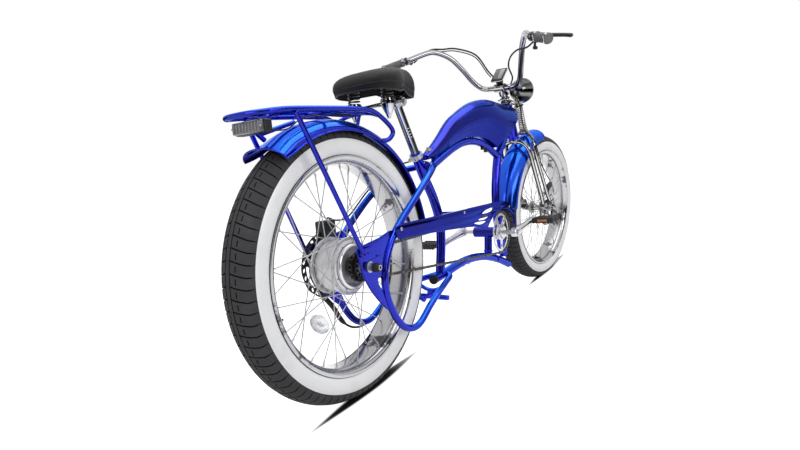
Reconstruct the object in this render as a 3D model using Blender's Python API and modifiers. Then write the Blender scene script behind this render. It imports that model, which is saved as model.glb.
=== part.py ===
"""Electric stretch cruiser bicycle, built as an assembly of separate pieces.

Metres, +Z up, forward is +X, the chain side is -Y. The bicycle stands on both tyres.
Distances along X in the dimensions below are from the rear axle.
The front assembly is modelled straight ahead under the empty "steering", which is then turned.
"""
import math

import bmesh
import bpy
from mathutils import Matrix, Vector

# Wheels
WHEEL_R = 0.365
WHEELBASE = 1.5475
TYRE_TALL = 0.0755
RIM_R = WHEEL_R - TYRE_TALL
RIM_HALF = 0.0468
RIM_LIP = 0.0100
BEAD_R = RIM_R - RIM_LIP
RIM_WELL = BEAD_R - 0.0115
TYRE_HALF = 0.0502
TREAD_FLAT = 0.0215
FLOOR_Z = 0.0015
SIDES = 32
AXLE_Z = WHEEL_R

# Steering
HEAD_ANGLE = math.radians(64.0)
STEM_X = 1.180
STEM_Z = 0.924
STEER_AT_REST = math.radians(-6.45)

# Frame
LOOP_Y = 0.090
LOOP_R = 0.0105
SEAT_TUBE_R = 0.0165
ARCH_R = 0.0165
DOWN_R = 0.0185
TOP_R = 0.0145
HEAD_R = 0.0235
SEAT_ANGLE = math.radians(60.5)
BB_X = 0.943
BB_Z = 0.321
CHAIN_Y = -0.058
RING_PITCH_R = 0.0849
COG_PITCH_R = 0.0366
CRANK = 0.170
GAP = 0.0003

FIT = 0.00004
AXLE_R = 0.0075
MOTOR_AXLE_R = 0.0090
BOSS_R = 0.0175
SPINDLE_R = 0.0085
STEERER_R = 0.0143
POST_R = 0.0136
BAR_R = 0.0115

# The box of the whole bicycle is centred on the origin by this shift
SHIFT = Vector((-0.7735, -0.0220, -FLOOR_Z))

for old in list(bpy.data.objects):
    bpy.data.objects.remove(old, do_unlink=True)

scene = bpy.context.scene
parts = bpy.data.collections.new("stretch_cruiser")
scene.collection.children.link(parts)


def material(name, rgb, rough, metal):
    mat = bpy.data.materials.new(name)
    mat.use_nodes = True
    node = mat.node_tree.nodes["Principled BSDF"]
    node.inputs["Base Color"].default_value = (rgb[0], rgb[1], rgb[2], 1.0)
    node.inputs["Roughness"].default_value = rough
    node.inputs["Metallic"].default_value = metal
    return mat


BLUE = material("candy_blue", (0.01, 0.03, 0.55), 0.18, 0.6)
CHROME = material("chrome", (0.80, 0.80, 0.82), 0.08, 1.0)
SILVER = material("silver_alloy", (0.62, 0.62, 0.63), 0.30, 0.9)
STEEL = material("steel", (0.45, 0.45, 0.46), 0.35, 0.9)
RUBBER = material("rubber", (0.03, 0.03, 0.03), 0.75, 0.0)
BLACK = material("black_alloy", (0.02, 0.02, 0.02), 0.40, 0.3)
PLASTIC = material("black_plastic", (0.03, 0.03, 0.03), 0.50, 0.0)
VINYL = material("black_vinyl", (0.02, 0.02, 0.02), 0.45, 0.0)
LENS = material("grey_lens", (0.12, 0.12, 0.12), 0.25, 0.0)
CELLS = material("battery_wrap", (0.05, 0.12, 0.30), 0.50, 0.0)


def link(ob):
    parts.objects.link(ob)
    return ob


def baked(ob, mat=None, name=None):
    """One closed mesh in world coordinates from an object with its modifiers."""
    bpy.context.view_layer.update()
    deps = bpy.context.evaluated_depsgraph_get()
    mesh = bpy.data.meshes.new_from_object(ob.evaluated_get(deps))
    mesh.transform(ob.matrix_world)
    bm = bmesh.new()
    bm.from_mesh(mesh)
    bmesh.ops.remove_doubles(bm, verts=bm.verts, dist=0.00002)
    bmesh.ops.recalc_face_normals(bm, faces=bm.faces)
    bm.to_mesh(mesh)
    bm.free()
    new = bpy.data.objects.new(name or ob.name, mesh)
    mesh.materials.clear()
    if mat:
        mesh.materials.append(mat)
    bpy.data.objects.remove(ob, do_unlink=True)
    return link(new)


def smooth(points, per=4, closed=False):
    """Points along a smooth curve through the given points."""
    pts = [Vector(p) for p in points]
    n = len(pts)
    out = []
    last = n if closed else n - 1
    for i in range(last):
        p1 = pts[i]
        p2 = pts[(i + 1) % n]
        p0 = pts[i - 1] if (closed or i > 0) else p1 * 2 - p2
        p3 = pts[(i + 2) % n] if (closed or i + 2 < n) else p2 * 2 - p1
        for k in range(per):
            t = k / per
            a = (p2 - p0) * 0.5
            b = (p3 - p1) * 0.5
            h = (2 * t ** 3 - 3 * t ** 2 + 1, t ** 3 - 2 * t ** 2 + t)
            g = (-2 * t ** 3 + 3 * t ** 2, t ** 3 - t ** 2)
            out.append(p1 * h[0] + a * h[1] + p2 * g[0] + b * g[1])
    if not closed:
        out.append(pts[-1])
    return out


def thinned(points, least=0.0006):
    """The same path without the points that hardly bend it."""
    kept = [Vector(points[0])]
    for i in range(1, len(points) - 1):
        a = kept[-1]
        p = Vector(points[i])
        c = Vector(points[i + 1])
        way = (c - a).normalized()
        off = (p - a) - way * (p - a).dot(way)
        if off.length > least:
            kept.append(p)
    kept.append(Vector(points[-1]))
    return kept


def tube(points, radius, mat=None, sides=8, closed=False, name="tube", scales=None):
    """A round bar along the points, with flat filled ends."""
    if not closed and not scales and radius > 0.0030:
        points = thinned(points)
    curve = bpy.data.curves.new(name, "CURVE")
    curve.dimensions = "3D"
    curve.bevel_depth = radius
    curve.bevel_resolution = (sides - 4) // 2
    curve.use_fill_caps = not closed
    spline = curve.splines.new("POLY")
    spline.points.add(len(points) - 1)
    for i, p in enumerate(points):
        spline.points[i].co = (p[0], p[1], p[2], 1.0)
        if scales:
            spline.points[i].radius = scales[i]
    spline.use_cyclic_u = closed
    ob = link(bpy.data.objects.new(name, curve))
    return baked(ob, mat)


def rod(start, end, radius, mat=None, sides=12, name="rod", end_radius=None):
    """A straight cylinder or cone between two points."""
    a = Vector(start)
    b = Vector(end)
    bm = bmesh.new()
    bmesh.ops.create_cone(bm, cap_ends=True, segments=sides, radius1=radius,
                          radius2=radius if end_radius is None else end_radius,
                          depth=(b - a).length)
    turn = (b - a).to_track_quat("Z", "Y").to_matrix().to_4x4()
    bmesh.ops.transform(bm, matrix=Matrix.Translation((a + b) / 2) @ turn, verts=bm.verts)
    mesh = bpy.data.meshes.new(name)
    bm.to_mesh(mesh)
    bm.free()
    if mat:
        mesh.materials.append(mat)
    return link(bpy.data.objects.new(name, mesh))


def box(centre, size, mat=None, turn=None, bevel=0.0, name="box"):
    """A box with optional rounded edges; turn is an optional rotation matrix."""
    bm = bmesh.new()
    bmesh.ops.create_cube(bm, size=1.0)
    bmesh.ops.scale(bm, vec=size, verts=bm.verts)
    if bevel:
        bmesh.ops.bevel(bm, geom=list(bm.edges), offset=bevel, segments=1, affect="EDGES", profile=0.5)
    matrix = Matrix.Translation(centre)
    if turn:
        matrix = matrix @ turn.to_4x4()
    bmesh.ops.transform(bm, matrix=matrix, verts=bm.verts)
    mesh = bpy.data.meshes.new(name)
    bm.to_mesh(mesh)
    bm.free()
    if mat:
        mesh.materials.append(mat)
    return link(bpy.data.objects.new(name, mesh))


def turned(profile, centre, axis, mat=None, steps=24, closed=False, name="turned"):
    """A profile of (radius, height) pairs turned about an axis through centre."""
    mesh = bpy.data.meshes.new(name)
    verts = [(r, 0.0, h) for r, h in profile]
    edges = [(i, i + 1) for i in range(len(verts) - 1)]
    if closed:
        edges.append((len(verts) - 1, 0))
    mesh.from_pydata(verts, edges, [])
    ob = link(bpy.data.objects.new(name, mesh))
    screw = ob.modifiers.new("turn", "SCREW")
    screw.steps = steps
    screw.render_steps = steps
    screw.use_merge_vertices = True
    screw.merge_threshold = 0.00002
    direction = Vector(axis).normalized()
    spin = Matrix.Rotation(math.pi / steps, 4, "Z")
    ob.matrix_world = Matrix.Translation(centre) @ direction.to_track_quat("Z",
                                                                           "X").to_matrix().to_4x4() @ spin
    return baked(ob, mat)


def plate(outline, y0, y1, mat=None, holes=(), name="plate"):
    """A flat outline in the XZ plane, from y0 to y1, with optional holes."""
    curve = bpy.data.curves.new(name, "CURVE")
    curve.dimensions = "2D"
    curve.fill_mode = "BOTH"
    curve.extrude = abs(y1 - y0) / 2
    for ring in (outline, *holes):
        spline = curve.splines.new("POLY")
        spline.points.add(len(ring) - 1)
        for i, p in enumerate(ring):
            spline.points[i].co = (p[0], p[1], 0.0, 1.0)
        spline.use_cyclic_u = True
    ob = link(bpy.data.objects.new(name, curve))
    ob.matrix_world = Matrix.Translation((0, (y0 + y1) / 2, 0)) @ Matrix.Rotation(math.pi / 2, 4, "X")
    return baked(ob, mat)


def circle(cx, cz, r, n=16, start=0.0, end=2 * math.pi):
    full = abs(end - start - 2 * math.pi) < 1e-6
    count = n if full else n + 1
    return [(cx + r * math.cos(start + (end - start) * i / n),
             cz + r * math.sin(start + (end - start) * i / n)) for i in range(count)]


def boolean(ob, other, operation, solver="EXACT"):
    mod = ob.modifiers.new("bool", "BOOLEAN")
    mod.operation = operation
    mod.solver = solver
    mod.object = other
    mat = ob.data.materials[0] if ob.data.materials else None
    new = baked(ob, mat)
    bpy.data.objects.remove(other, do_unlink=True)
    return new


def union(*obs):
    base = obs[0]
    for other in obs[1:]:
        base = boolean(base, other, "UNION")
    return base


def cut(ob, *cutters):
    for cutter in cutters:
        ob = boolean(ob, cutter, "DIFFERENCE")
    return ob


def joined(obs):
    """Several bodies that do not touch as one mesh object."""
    bm = bmesh.new()
    for ob in obs:
        bm.from_mesh(ob.data)
        bpy.data.objects.remove(ob, do_unlink=True)
    mesh = bpy.data.meshes.new("joined")
    bm.to_mesh(mesh)
    bm.free()
    return link(bpy.data.objects.new("joined", mesh))


def bore(radius, sides):
    """Radius of a many-sided hole whose flats just clear a shaft."""
    return (radius + FIT) / math.cos(math.pi / sides)


root = link(bpy.data.objects.new("cruiser", None))
root.location = SHIFT
steering = link(bpy.data.objects.new("steering", None))
steering.parent = root
steering.location = (STEM_X, 0.0, STEM_Z)
steer_axis = Vector((-math.cos(HEAD_ANGLE), 0.0, math.sin(HEAD_ANGLE)))
steering.rotation_mode = "AXIS_ANGLE"
steering.rotation_axis_angle = (STEER_AT_REST, *steer_axis)


def finish(ob, name, mat, origin=(0.0, 0.0, 0.0), parent=None, angle=35.0):
    """Names the piece, moves its origin to its joint and hangs it on the frame or the fork."""
    parent = parent or root
    ob.name = name
    ob.data.name = name
    ob.data.materials.clear()
    ob.data.materials.append(mat)
    centre = Vector(origin)
    ob.data.transform(Matrix.Translation(-centre))
    ob.matrix_world = Matrix.Identity(4)
    ob.parent = parent
    ob.location = centre - (Vector((STEM_X, 0.0, STEM_Z)) if parent == steering else Vector())
    ob.data.shade_smooth()
    ob.data.set_sharp_from_angle(angle=math.radians(angle))
    return ob


def mirrored(ob):
    """A copy of the mesh on the other side of the middle plane."""
    mesh = ob.data.copy()
    mesh.transform(Matrix.Scale(-1.0, 4, Vector((0.0, 1.0, 0.0))))
    mesh.flip_normals()
    return link(bpy.data.objects.new("mirror", mesh))


def steer_point(z, ahead=0.0):
    """A point at height z on the line parallel to the steering axis, ahead of it."""
    x = STEM_X + (STEM_Z - z) / math.tan(HEAD_ANGLE) + ahead / math.sin(HEAD_ANGLE)
    return Vector((x, 0.0, z))


def along(point, distance):
    """A point moved up along the steering axis."""
    return Vector(point) + steer_axis * distance


AHEAD = Vector((math.sin(HEAD_ANGLE), 0.0, math.cos(HEAD_ANGLE)))
REAR = Vector((0.0, 0.0, AXLE_Z))
FRONT = Vector((WHEELBASE, 0.0, AXLE_Z))
ROUND_UP = 1.0 / math.cos(math.pi / SIDES)


# Wheels: tyre, tube, rim and lacing for each end
def tyre(centre, prefix, parent):
    outer = [(BEAD_R + 0.0008, 0.0424), (RIM_R + 0.0025, 0.0424), (WHEEL_R - 0.0510, TYRE_HALF),
             (WHEEL_R - 0.0190, TYRE_HALF - 0.0082), (WHEEL_R, TREAD_FLAT)]
    inner = [(WHEEL_R - 0.0070, 0.0150), (WHEEL_R - 0.0450, TYRE_HALF - 0.0092)]
    ring = outer + [(r, -y) for r, y in reversed(outer)] + [(r, -y) for r, y in reversed(inner)] + inner
    profile = [(r * ROUND_UP, y) for r, y in reversed(ring)]
    ob = turned(profile, centre, (0, 1, 0), steps=SIDES, closed=True)
    ground = box((centre.x, 0.0, FLOOR_Z - 0.02), (0.3, 0.3, 0.04))
    if parent:
        unturn = Matrix.Rotation(-STEER_AT_REST, 4, steer_axis)
        at_stem = Matrix.Translation((STEM_X, 0.0, STEM_Z))
        ground.data.transform(at_stem @ unturn @ at_stem.inverted())
    ob = cut(ob, ground)
    finish(ob, prefix + "_tyre", RUBBER, centre, parent)
    tube_profile = [(WHEEL_R - 0.0402 + 0.0340 * math.cos(a), 0.0340 * math.sin(a))
                    for a in [-2 * math.pi * (i + 0.5) / 6 for i in range(6)]]
    ob = turned(tube_profile, centre, (0, 1, 0), steps=20, closed=True)
    finish(ob, prefix + "_inner_tube", RUBBER, centre, parent)


def rim(centre, prefix, parent):
    side = [(RIM_R, RIM_HALF), (RIM_R, 0.0432), (BEAD_R, 0.0432), (BEAD_R - 0.0050, 0.0330)]
    back = [(RIM_WELL, 0.0330)]
    ring = side + [(r, -y) for r, y in reversed(side)] + [(r, -y) for r, y in reversed(back)] + back
    profile = [(r * ROUND_UP, y) for r, y in reversed(ring)]
    ob = turned(profile, centre, (0, 1, 0), steps=SIDES, closed=True)
    finish(ob, prefix + "_rim", CHROME, centre, parent)


def spokes(centre, prefix, side, hub_r, hub_y, pairs, parent, ring_in, steps, phase=0.0):
    """Crossed spokes on one side of a wheel, joined to the flange ring that holds them."""
    bars = []
    end_r = RIM_WELL - 0.0004
    for i in range(pairs):
        for turn in (-1, 1):
            a = phase + 2 * math.pi * (i + 0.25 * turn) / pairs
            b = a - turn * math.radians(62.0)
            y0 = side * (hub_y + 0.0032 * turn)
            y1 = side * (0.022 + 0.002 * turn)
            start = centre + Vector((hub_r * math.cos(b), y0, hub_r * math.sin(b)))
            stop = centre + Vector((end_r * math.cos(a), y1, end_r * math.sin(a)))
            bars.append(rod(start, stop, 0.00135, sides=3))
    half = 0.0042
    ring = [(hub_r + 0.005, half), (hub_r + 0.005, -half), (ring_in, -half), (ring_in, half)]
    flange = turned(ring, centre + Vector((0, side * hub_y, 0)), (0, 1, 0), steps=steps, closed=True)
    ob = boolean(flange, joined(bars), "UNION")
    word = "left" if side > 0 else "right"
    finish(ob, f"{prefix}_spokes_{word}", STEEL, centre, parent)


# Rear wheel with the hub motor
tyre(REAR, "rear", None)
rim(REAR, "rear", None)
MOTOR_R = 0.0679
FLANGE_R = MOTOR_R + 0.0046
spokes(REAR, "rear", -1, FLANGE_R, 0.0240, 9, None, MOTOR_R + 0.0003, 20)
spokes(REAR, "rear", 1, FLANGE_R, 0.0420, 9, None, MOTOR_R + 0.0003, 20, math.pi / 9)

hole = bore(MOTOR_AXLE_R, 20)
shell = [(hole, -0.0700), (BOSS_R, -0.0700), (BOSS_R, -0.0300), (0.0500, -0.0300), (0.0520, -0.0420),
         (0.0590, -0.0420), (0.0625, -0.0330), (MOTOR_R, -0.0310),
         (MOTOR_R, 0.0480), (0.0580, 0.0560), (0.0205, 0.0590), (0.0205, 0.0670), (hole, 0.0670)]
inside = [(hole, 0.0555), (0.0570, 0.0520), (MOTOR_R - 0.0040, 0.0450), (MOTOR_R - 0.0040, -0.0100),
          (0.0580, -0.0265), (hole, -0.0265)]
ob = turned(list(reversed(shell + inside)), REAR, (0, 1, 0), steps=20, closed=True)
finish(ob, "hub_motor_shell", SILVER, REAR)

# The fixed axle carries the wound stator, and the motor cable leaves its left end
thin = MOTOR_AXLE_R - 0.0015
stator = [(0.0, -0.1060), (thin, -0.1060), (thin, -0.0840), (MOTOR_AXLE_R, -0.0840), (MOTOR_AXLE_R, 0.0020),
          (MOTOR_R - 0.0070, 0.0020), (MOTOR_R - 0.0070, 0.0350), (0.0520, 0.0440), (MOTOR_AXLE_R, 0.0440),
          (MOTOR_AXLE_R, 0.0840),
          (thin, 0.0840), (thin, 0.1060), (0.0, 0.1060)]
axle = turned(list(reversed(stator)), REAR, (0, 1, 0), steps=20)
for side in (-1, 1):
    nut = [(0.0, 0.0935), (0.0140, 0.0935), (0.0140, 0.1140), (0.0110, 0.1220), (0.0, 0.1250)]
    cap = turned([(r, h * side) for r, h in (nut if side < 0 else reversed(nut))], REAR, (0, 1, 0),
                 steps=10)
    axle = union(axle, cap)
cable = tube(smooth([(0.0, 0.1180, AXLE_Z - 0.0050), (0.0000, 0.1240, AXLE_Z - 0.0220),
                     (0.0080, 0.1260, AXLE_Z - 0.0500), (0.0300, 0.1180, AXLE_Z - 0.0950),
                     (0.0620, 0.1100, AXLE_Z - 0.1400), (0.0950, 0.1090, AXLE_Z - 0.1930),
                     (0.1350, 0.1080, AXLE_Z - 0.2250), (0.1850, 0.1080, AXLE_Z - 0.2370),
                     (0.2350, 0.1070, AXLE_Z - 0.2250), (0.3000, 0.1000, AXLE_Z - 0.1800)], 1), 0.0038,
             sides=6)
sleeve = rod((0.0090, 0.1255, AXLE_Z - 0.0540), (0.0400, 0.1160, AXLE_Z - 0.1090), 0.0085, sides=8)
ob = union(axle, union(cable, sleeve))
finish(ob, "motor_axle", STEEL, REAR)

# Freewheel: stepped cogs on a threaded body
hole = bore(BOSS_R, 18)
cogs = [(hole, -0.0690), (0.0300, -0.0690), (0.0300, -0.0630), (0.0323, -0.0625), (0.0323, -0.0535),
        (0.0400, -0.0530), (0.0400, -0.0500), (0.0340, -0.0490), (0.0340, -0.0430), (0.0300, -0.0330),
        (hole, -0.0330)]
ob = turned(list(reversed(cogs)), REAR, (0, 1, 0), steps=18, closed=True)
finish(ob, "freewheel", BLACK, REAR)


def rotor(centre, y, name, parent):
    """A slotted brake disc with spider arms."""
    ring = plate(circle(centre.x, centre.z, 0.0900, 24), y - 0.0011, y + 0.0011,
                 holes=[circle(centre.x, centre.z, 0.0740, 15)])
    hub = plate(circle(centre.x, centre.z, 0.0330, 12), y - 0.0010, y + 0.0010,
                holes=[circle(centre.x, centre.z, 0.0216, 12)])
    arms = []
    for i in range(5):
        a = 2 * math.pi * i / 5
        b = a + math.radians(22)
        p = Vector((centre.x + 0.0300 * math.cos(a), 0, centre.z + 0.0300 * math.sin(a)))
        q = Vector((centre.x + 0.0780 * math.cos(b), 0, centre.z + 0.0780 * math.sin(b)))
        side = (q - p).normalized().cross(Vector((0, 1, 0))) * 0.0045
        arms.append(plate([(v.x, v.z) for v in (p + side, q + side, q - side, p - side)], y - 0.0009,
                          y + 0.0009))
    ob = boolean(ring, joined(arms), "UNION")
    ob = boolean(ob, hub, "UNION")
    finish(ob, name, BLACK, (centre.x, 0, centre.z), parent)


rotor(REAR, 0.0640, "rear_brake_disc", None)

# Front wheel
tyre(FRONT, "front", steering)
rim(FRONT, "front", steering)
spokes(FRONT, "front", -1, 0.0270, 0.0300, 9, steering, 0.0172, 16)
spokes(FRONT, "front", 1, 0.0270, 0.0300, 9, steering, 0.0172, 16, math.pi / 9)
hole = bore(AXLE_R, 16)
hub = [(hole, -0.0545), (0.0205, -0.0545), (0.0205, -0.0510), (0.0300, -0.0510), (0.0300, -0.0455),
       (0.0168, -0.0440), (0.0168, 0.0440), (0.0150, 0.0520), (hole, 0.0520)]
ob = turned(list(reversed(hub)), FRONT, (0, 1, 0), steps=16, closed=True)
finish(ob, "front_hub", SILVER, FRONT, steering)
rotor(FRONT, -0.0525, "front_brake_disc", steering)

# Frame tubes
SEAT_TOP = Vector((0.408, 0.0, 0.658))
seat_path = smooth([SEAT_TOP, (0.454, 0, 0.5770), (0.505, 0, 0.5000), (0.538, 0, 0.4150),
                    (0.536, 0, 0.3350),
                    (0.5160, 0, 0.2330)], 2)
seat_tube = tube(seat_path, SEAT_TUBE_R, sides=12)
seat_dir = Vector((math.cos(SEAT_ANGLE), 0, -math.sin(SEAT_ANGLE)))
arch_path = smooth([(0.465, 0, 0.2215), (0.55, 0, 0.2270), (0.63, 0, 0.2355), (0.71, 0, 0.2415),
                    (0.80, 0, 0.2375),
                    (0.90, 0, 0.2235), (1.00, 0, 0.1975), (1.075, 0, 0.1720), (1.148, 0, 0.1430)], 2)
down_path = smooth([(1.083, 0, 0.6380), (1.062, 0, 0.5750), (1.046, 0, 0.5100), (1.040, 0, 0.4400),
                    (1.047, 0, 0.3500), (1.071, 0, 0.2600), (1.096, 0, 0.1950)], 2)
top_path = smooth([(0.470, 0, 0.5965), (0.524, 0, 0.6190), (0.623, 0, 0.6565), (0.687, 0, 0.6775),
                   (0.746, 0, 0.6915),
                   (0.816, 0, 0.6985), (0.889, 0, 0.6955), (0.964, 0, 0.6795), (1.020, 0, 0.6600),
                   (1.080, 0, 0.6350)], 2)


def loop_half(y_sign, extra=0.0):
    """Half of the tube loop that carries the rear wheel, open at the middle plane."""
    s = y_sign
    pts = [(0.4790, GAP / 2, 0.6140), (0.4790, 0.0080, 0.6140), (0.4760, 0.0170, 0.6140),
           (0.4610, 0.0330, 0.6125), (0.4150, 0.0570, 0.6040),
           (0.3450, 0.0790, 0.5790), (0.2600, 0.0890, 0.5310), (0.1660, LOOP_Y, 0.4670),
           (0.1170, LOOP_Y, 0.4250),
           (0.0840, LOOP_Y, 0.3800), (0.0650, LOOP_Y, 0.3300), (0.0640, LOOP_Y, 0.2850),
           (0.0780, LOOP_Y, 0.2400),
           (0.1060, LOOP_Y, 0.1930), (0.1400, LOOP_Y, 0.1600), (0.1850, LOOP_Y, 0.1440),
           (0.2280, LOOP_Y, 0.1500),
           (0.2900, 0.0870, 0.1820), (0.3600, 0.0790, 0.2060), (0.4400, 0.0610, 0.2180),
           (0.5100, 0.0400, 0.2220),
           (0.5420, 0.0210, 0.2250), (0.5480, 0.0080, 0.2250),
           (0.5480, GAP / 2, 0.2250)]
    return tube([(x, y * s, z) for x, y, z in pts], LOOP_R + extra, sides=8)


def grown(path, radius, sides=12):
    """A slightly larger copy of a tube, used to cut a neighbour clear of it."""
    return tube(path, radius + GAP, sides=sides)


# The welded joints: each tube is trimmed where it meets its neighbour
loop_right = loop_half(-1)
loop_left = loop_half(1)
seat_tube = cut(seat_tube, grown(arch_path, ARCH_R, 10))
seat_tube = cut(seat_tube, rod(SEAT_TOP - seat_dir * 0.01, SEAT_TOP + seat_dir * 0.1020, bore(POST_R, 16),
                               sides=16))
top_tube = cut(tube(top_path, TOP_R, sides=10), grown(seat_path, SEAT_TUBE_R), grown(down_path, DOWN_R, 10),
               rod((1.0700, 0, 0.6286), (1.2380, 0, 0.7760), 0.0170, sides=12))
arch = cut(tube(arch_path, ARCH_R, sides=10), grown(down_path, DOWN_R, 10))


def loop_cutters():
    return [grown(seat_path, SEAT_TUBE_R), grown(arch_path, ARCH_R, 10), grown(top_path, TOP_R, 10)]


loop_right = cut(loop_right, *loop_cutters())
loop_left = cut(loop_left, *loop_cutters())
finish(seat_tube, "seat_tube", BLUE)
finish(arch, "lower_arch_tube", BLUE)
finish(top_tube, "top_tube", BLUE)
head_low = steer_point(0.712)
head_top = steer_point(0.862)
down_tube = tube(down_path, DOWN_R, sides=10)
neck = rod((1.083, 0, 0.6400), (1.238, 0, 0.7760), 0.0165, sides=12)
down_tube = union(down_tube, neck)
down_tube = union(down_tube, rod(head_low, head_top, HEAD_R, sides=16))
down_tube = cut(down_tube, rod(along(head_low, -0.02), along(head_top, 0.02), bore(STEERER_R, 16),
                               sides=16))
finish(down_tube, "down_tube", BLUE)
bb = rod((BB_X, -0.0350, BB_Z), (BB_X, 0.0620, BB_Z), 0.0215, sides=16)
bb = union(bb, rod((BB_X, 0, BB_Z), (BB_X - 0.011, 0, 0.2300), 0.0165, sides=12))
bb = cut(bb, rod((BB_X, -0.07, BB_Z), (BB_X, 0.07, BB_Z), bore(SPINDLE_R, 16), sides=16),
         grown(arch_path, ARCH_R, 10))
finish(bb, "bottom_bracket_shell", BLUE)


def dropout(s):
    """Side plate for the axle, with the strut that runs down to the loop."""
    outline = [(-0.0420, 0.4180), (-0.0370, 0.3980), (-0.0260, 0.3500), (-0.0140, 0.3270), (0.0050, 0.2950),
               (0.0400, 0.2500), (0.0720, 0.2300), (0.0660, 0.2600), (0.0560, 0.2700), (0.0180, 0.3270),
               (0.0360, 0.3420), (0.0640, 0.3280), (0.0750, 0.3600), (0.0900, 0.3950), (0.1260, 0.4360),
               (0.1050, 0.4440), (0.0550, 0.4330), (0.0000, 0.4260)]
    y0, y1 = sorted((s * (LOOP_Y - 0.0030), s * (LOOP_Y + 0.0030)))
    return plate(outline, y0, y1, holes=[circle(0.0, AXLE_Z, 0.0082, 12),
                                         circle(-0.0290, 0.4055, 0.0033, 8)])


finish(union(loop_right, dropout(-1)), "frame_loop_right", BLUE)
finish(union(loop_left, dropout(1)), "frame_loop_left", BLUE)


def fender(centre, start, stop, name, crown, angle_step=10.0):
    """A curved mudguard swept round the wheel, wider and lifted at the flared end."""
    count = int(round(abs(stop - start) / angle_step))
    mesh = bpy.data.meshes.new(name)
    ribs = 6
    verts = []
    faces = []
    for i in range(count + 1):
        a = math.radians(start + (stop - start) * i / count)
        lift = max(0.0, 1.0 - i * angle_step / 9.0) ** 2
        for j in range(ribs + 1):
            t = math.radians(-90 + 180 * j / ribs)
            r = WHEEL_R - 0.0150 + (crown + 0.0150) * math.cos(t) + 0.010 * lift
            verts.append((r * math.cos(a), 0.0600 * math.sin(t) * (1 + 0.16 * lift), r * math.sin(a)))
    for i in range(count):
        for j in range(ribs):
            k = i * (ribs + 1) + j
            faces.append((k, k + 1, k + ribs + 2, k + ribs + 1))
    mesh.from_pydata(verts, [], faces)
    ob = link(bpy.data.objects.new(name, mesh))
    ob.location = centre
    solid = ob.modifiers.new("thick", "SOLIDIFY")
    solid.thickness = 0.0016
    solid.offset = 0.0
    return baked(ob)


finish(fender(REAR, 128.0, 8.0, "rear_fender", 0.0180), "rear_fender", BLUE)

# Luggage rack: round bars welded into one frame with its two stays
RACK_R = 0.0065
side = [(0.1350, -0.0668, 0.6880), (0.1570, -0.0760, 0.6920), (0.1730, -0.0800, 0.7090),
        (0.1620, -0.0800, 0.7270),
        (0.1190, -0.0800, 0.7520), (0.0770, -0.0800, 0.7650), (-0.0500, -0.0800, 0.7620),
        (-0.1950, -0.0800, 0.7530),
        (-0.2450, -0.0740, 0.7480), (-0.2700, -0.0560, 0.7450), (-0.2830, -0.0300, 0.7440),
        (-0.2850, 0.0, 0.7440)]
loop = side + [(x, -y, z) for x, y, z in reversed(side[:-1])]
rack = tube(loop, RACK_R, sides=6)
front = [(0.1190, -0.0800, 0.7520), (0.1280, -0.0400, 0.7640), (0.1320, 0.0, 0.7680)]
bars = [tube(front + [(x, -y, z) for x, y, z in reversed(front[:-1])], 0.0054, sides=6)]
for y in (-0.0280, 0.0280):
    bars.append(tube([(-0.2840, y, 0.7440), (-0.1950, y, 0.7555), (-0.0450, y, 0.7650),
                      (0.1290, y, 0.7665)],
                     0.0054, sides=6))
for x, z in ((-0.1950, 0.7500), (-0.0450, 0.7600)):
    bars.append(tube([(x, -0.0795, z), (x, 0.0795, z)], 0.0054, sides=6))
bars.append(rod((0.1320, 0.0, 0.7650), (0.1185, 0.0, 0.7330), 0.0050, sides=6))
for y in (-1, 1):
    bars.append(rod((-0.1945, y * 0.0835, 0.7470), (-0.0306, y * 0.1002, 0.4060), 0.0063, sides=6))
bars.append(rod((-0.2390, 0.0, 0.7100), (-0.2165, 0.0, 0.6935), 0.0060, sides=6))
bars.append(rod((-0.2350, 0.0, 0.7120), (-0.1950, 0.0, 0.7500), 0.0056, sides=6))
bars.append(rod((-0.2300, 0.0, 0.7060), (-0.1200, 0.0, 0.7370), 0.0056, sides=6))
for bar in bars:
    rack = union(rack, bar)
finish(rack, "rear_rack", BLUE)

light = box((-0.2465, 0.0, 0.7205), (0.0300, 0.1000, 0.0300), bevel=0.0060)
light = cut(light, rod((-0.2500, 0.0, 0.7181), (-0.2165, 0.0, 0.6935), 0.0064, sides=6),
            rod((-0.2450, 0.0, 0.7025), (-0.1950, 0.0, 0.7500), 0.0060, sides=6),
            rod((-0.2450, 0.0, 0.7018), (-0.1200, 0.0, 0.7370), 0.0060, sides=6))
finish(light, "tail_light", LENS)


# Chain drive
def belt(extra, n_ring=14, n_cog=8):
    """Outline round the chainring and the sprocket at a distance from the pitch line."""
    dx = BB_X
    dz = BB_Z - AXLE_Z
    length = math.hypot(dx, dz)
    base = math.atan2(dz, dx)
    lean = math.acos((RING_PITCH_R - COG_PITCH_R) / length)
    out = []
    for i in range(n_ring + 1):
        a = base - (math.pi - lean) + (2 * (math.pi - lean)) * i / n_ring
        out.append((BB_X + (RING_PITCH_R + extra) * math.cos(a),
                    BB_Z + (RING_PITCH_R + extra) * math.sin(a)))
    for i in range(n_cog + 1):
        a = base + (math.pi - lean) + 2 * lean * i / n_cog
        out.append(((COG_PITCH_R + extra) * math.cos(a), AXLE_Z + (COG_PITCH_R + extra) * math.sin(a)))
    return out


ob = plate(belt(0.0040), CHAIN_Y - 0.0035, CHAIN_Y + 0.0035, holes=[belt(-0.0036)])
finish(ob, "chain", STEEL)

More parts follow.
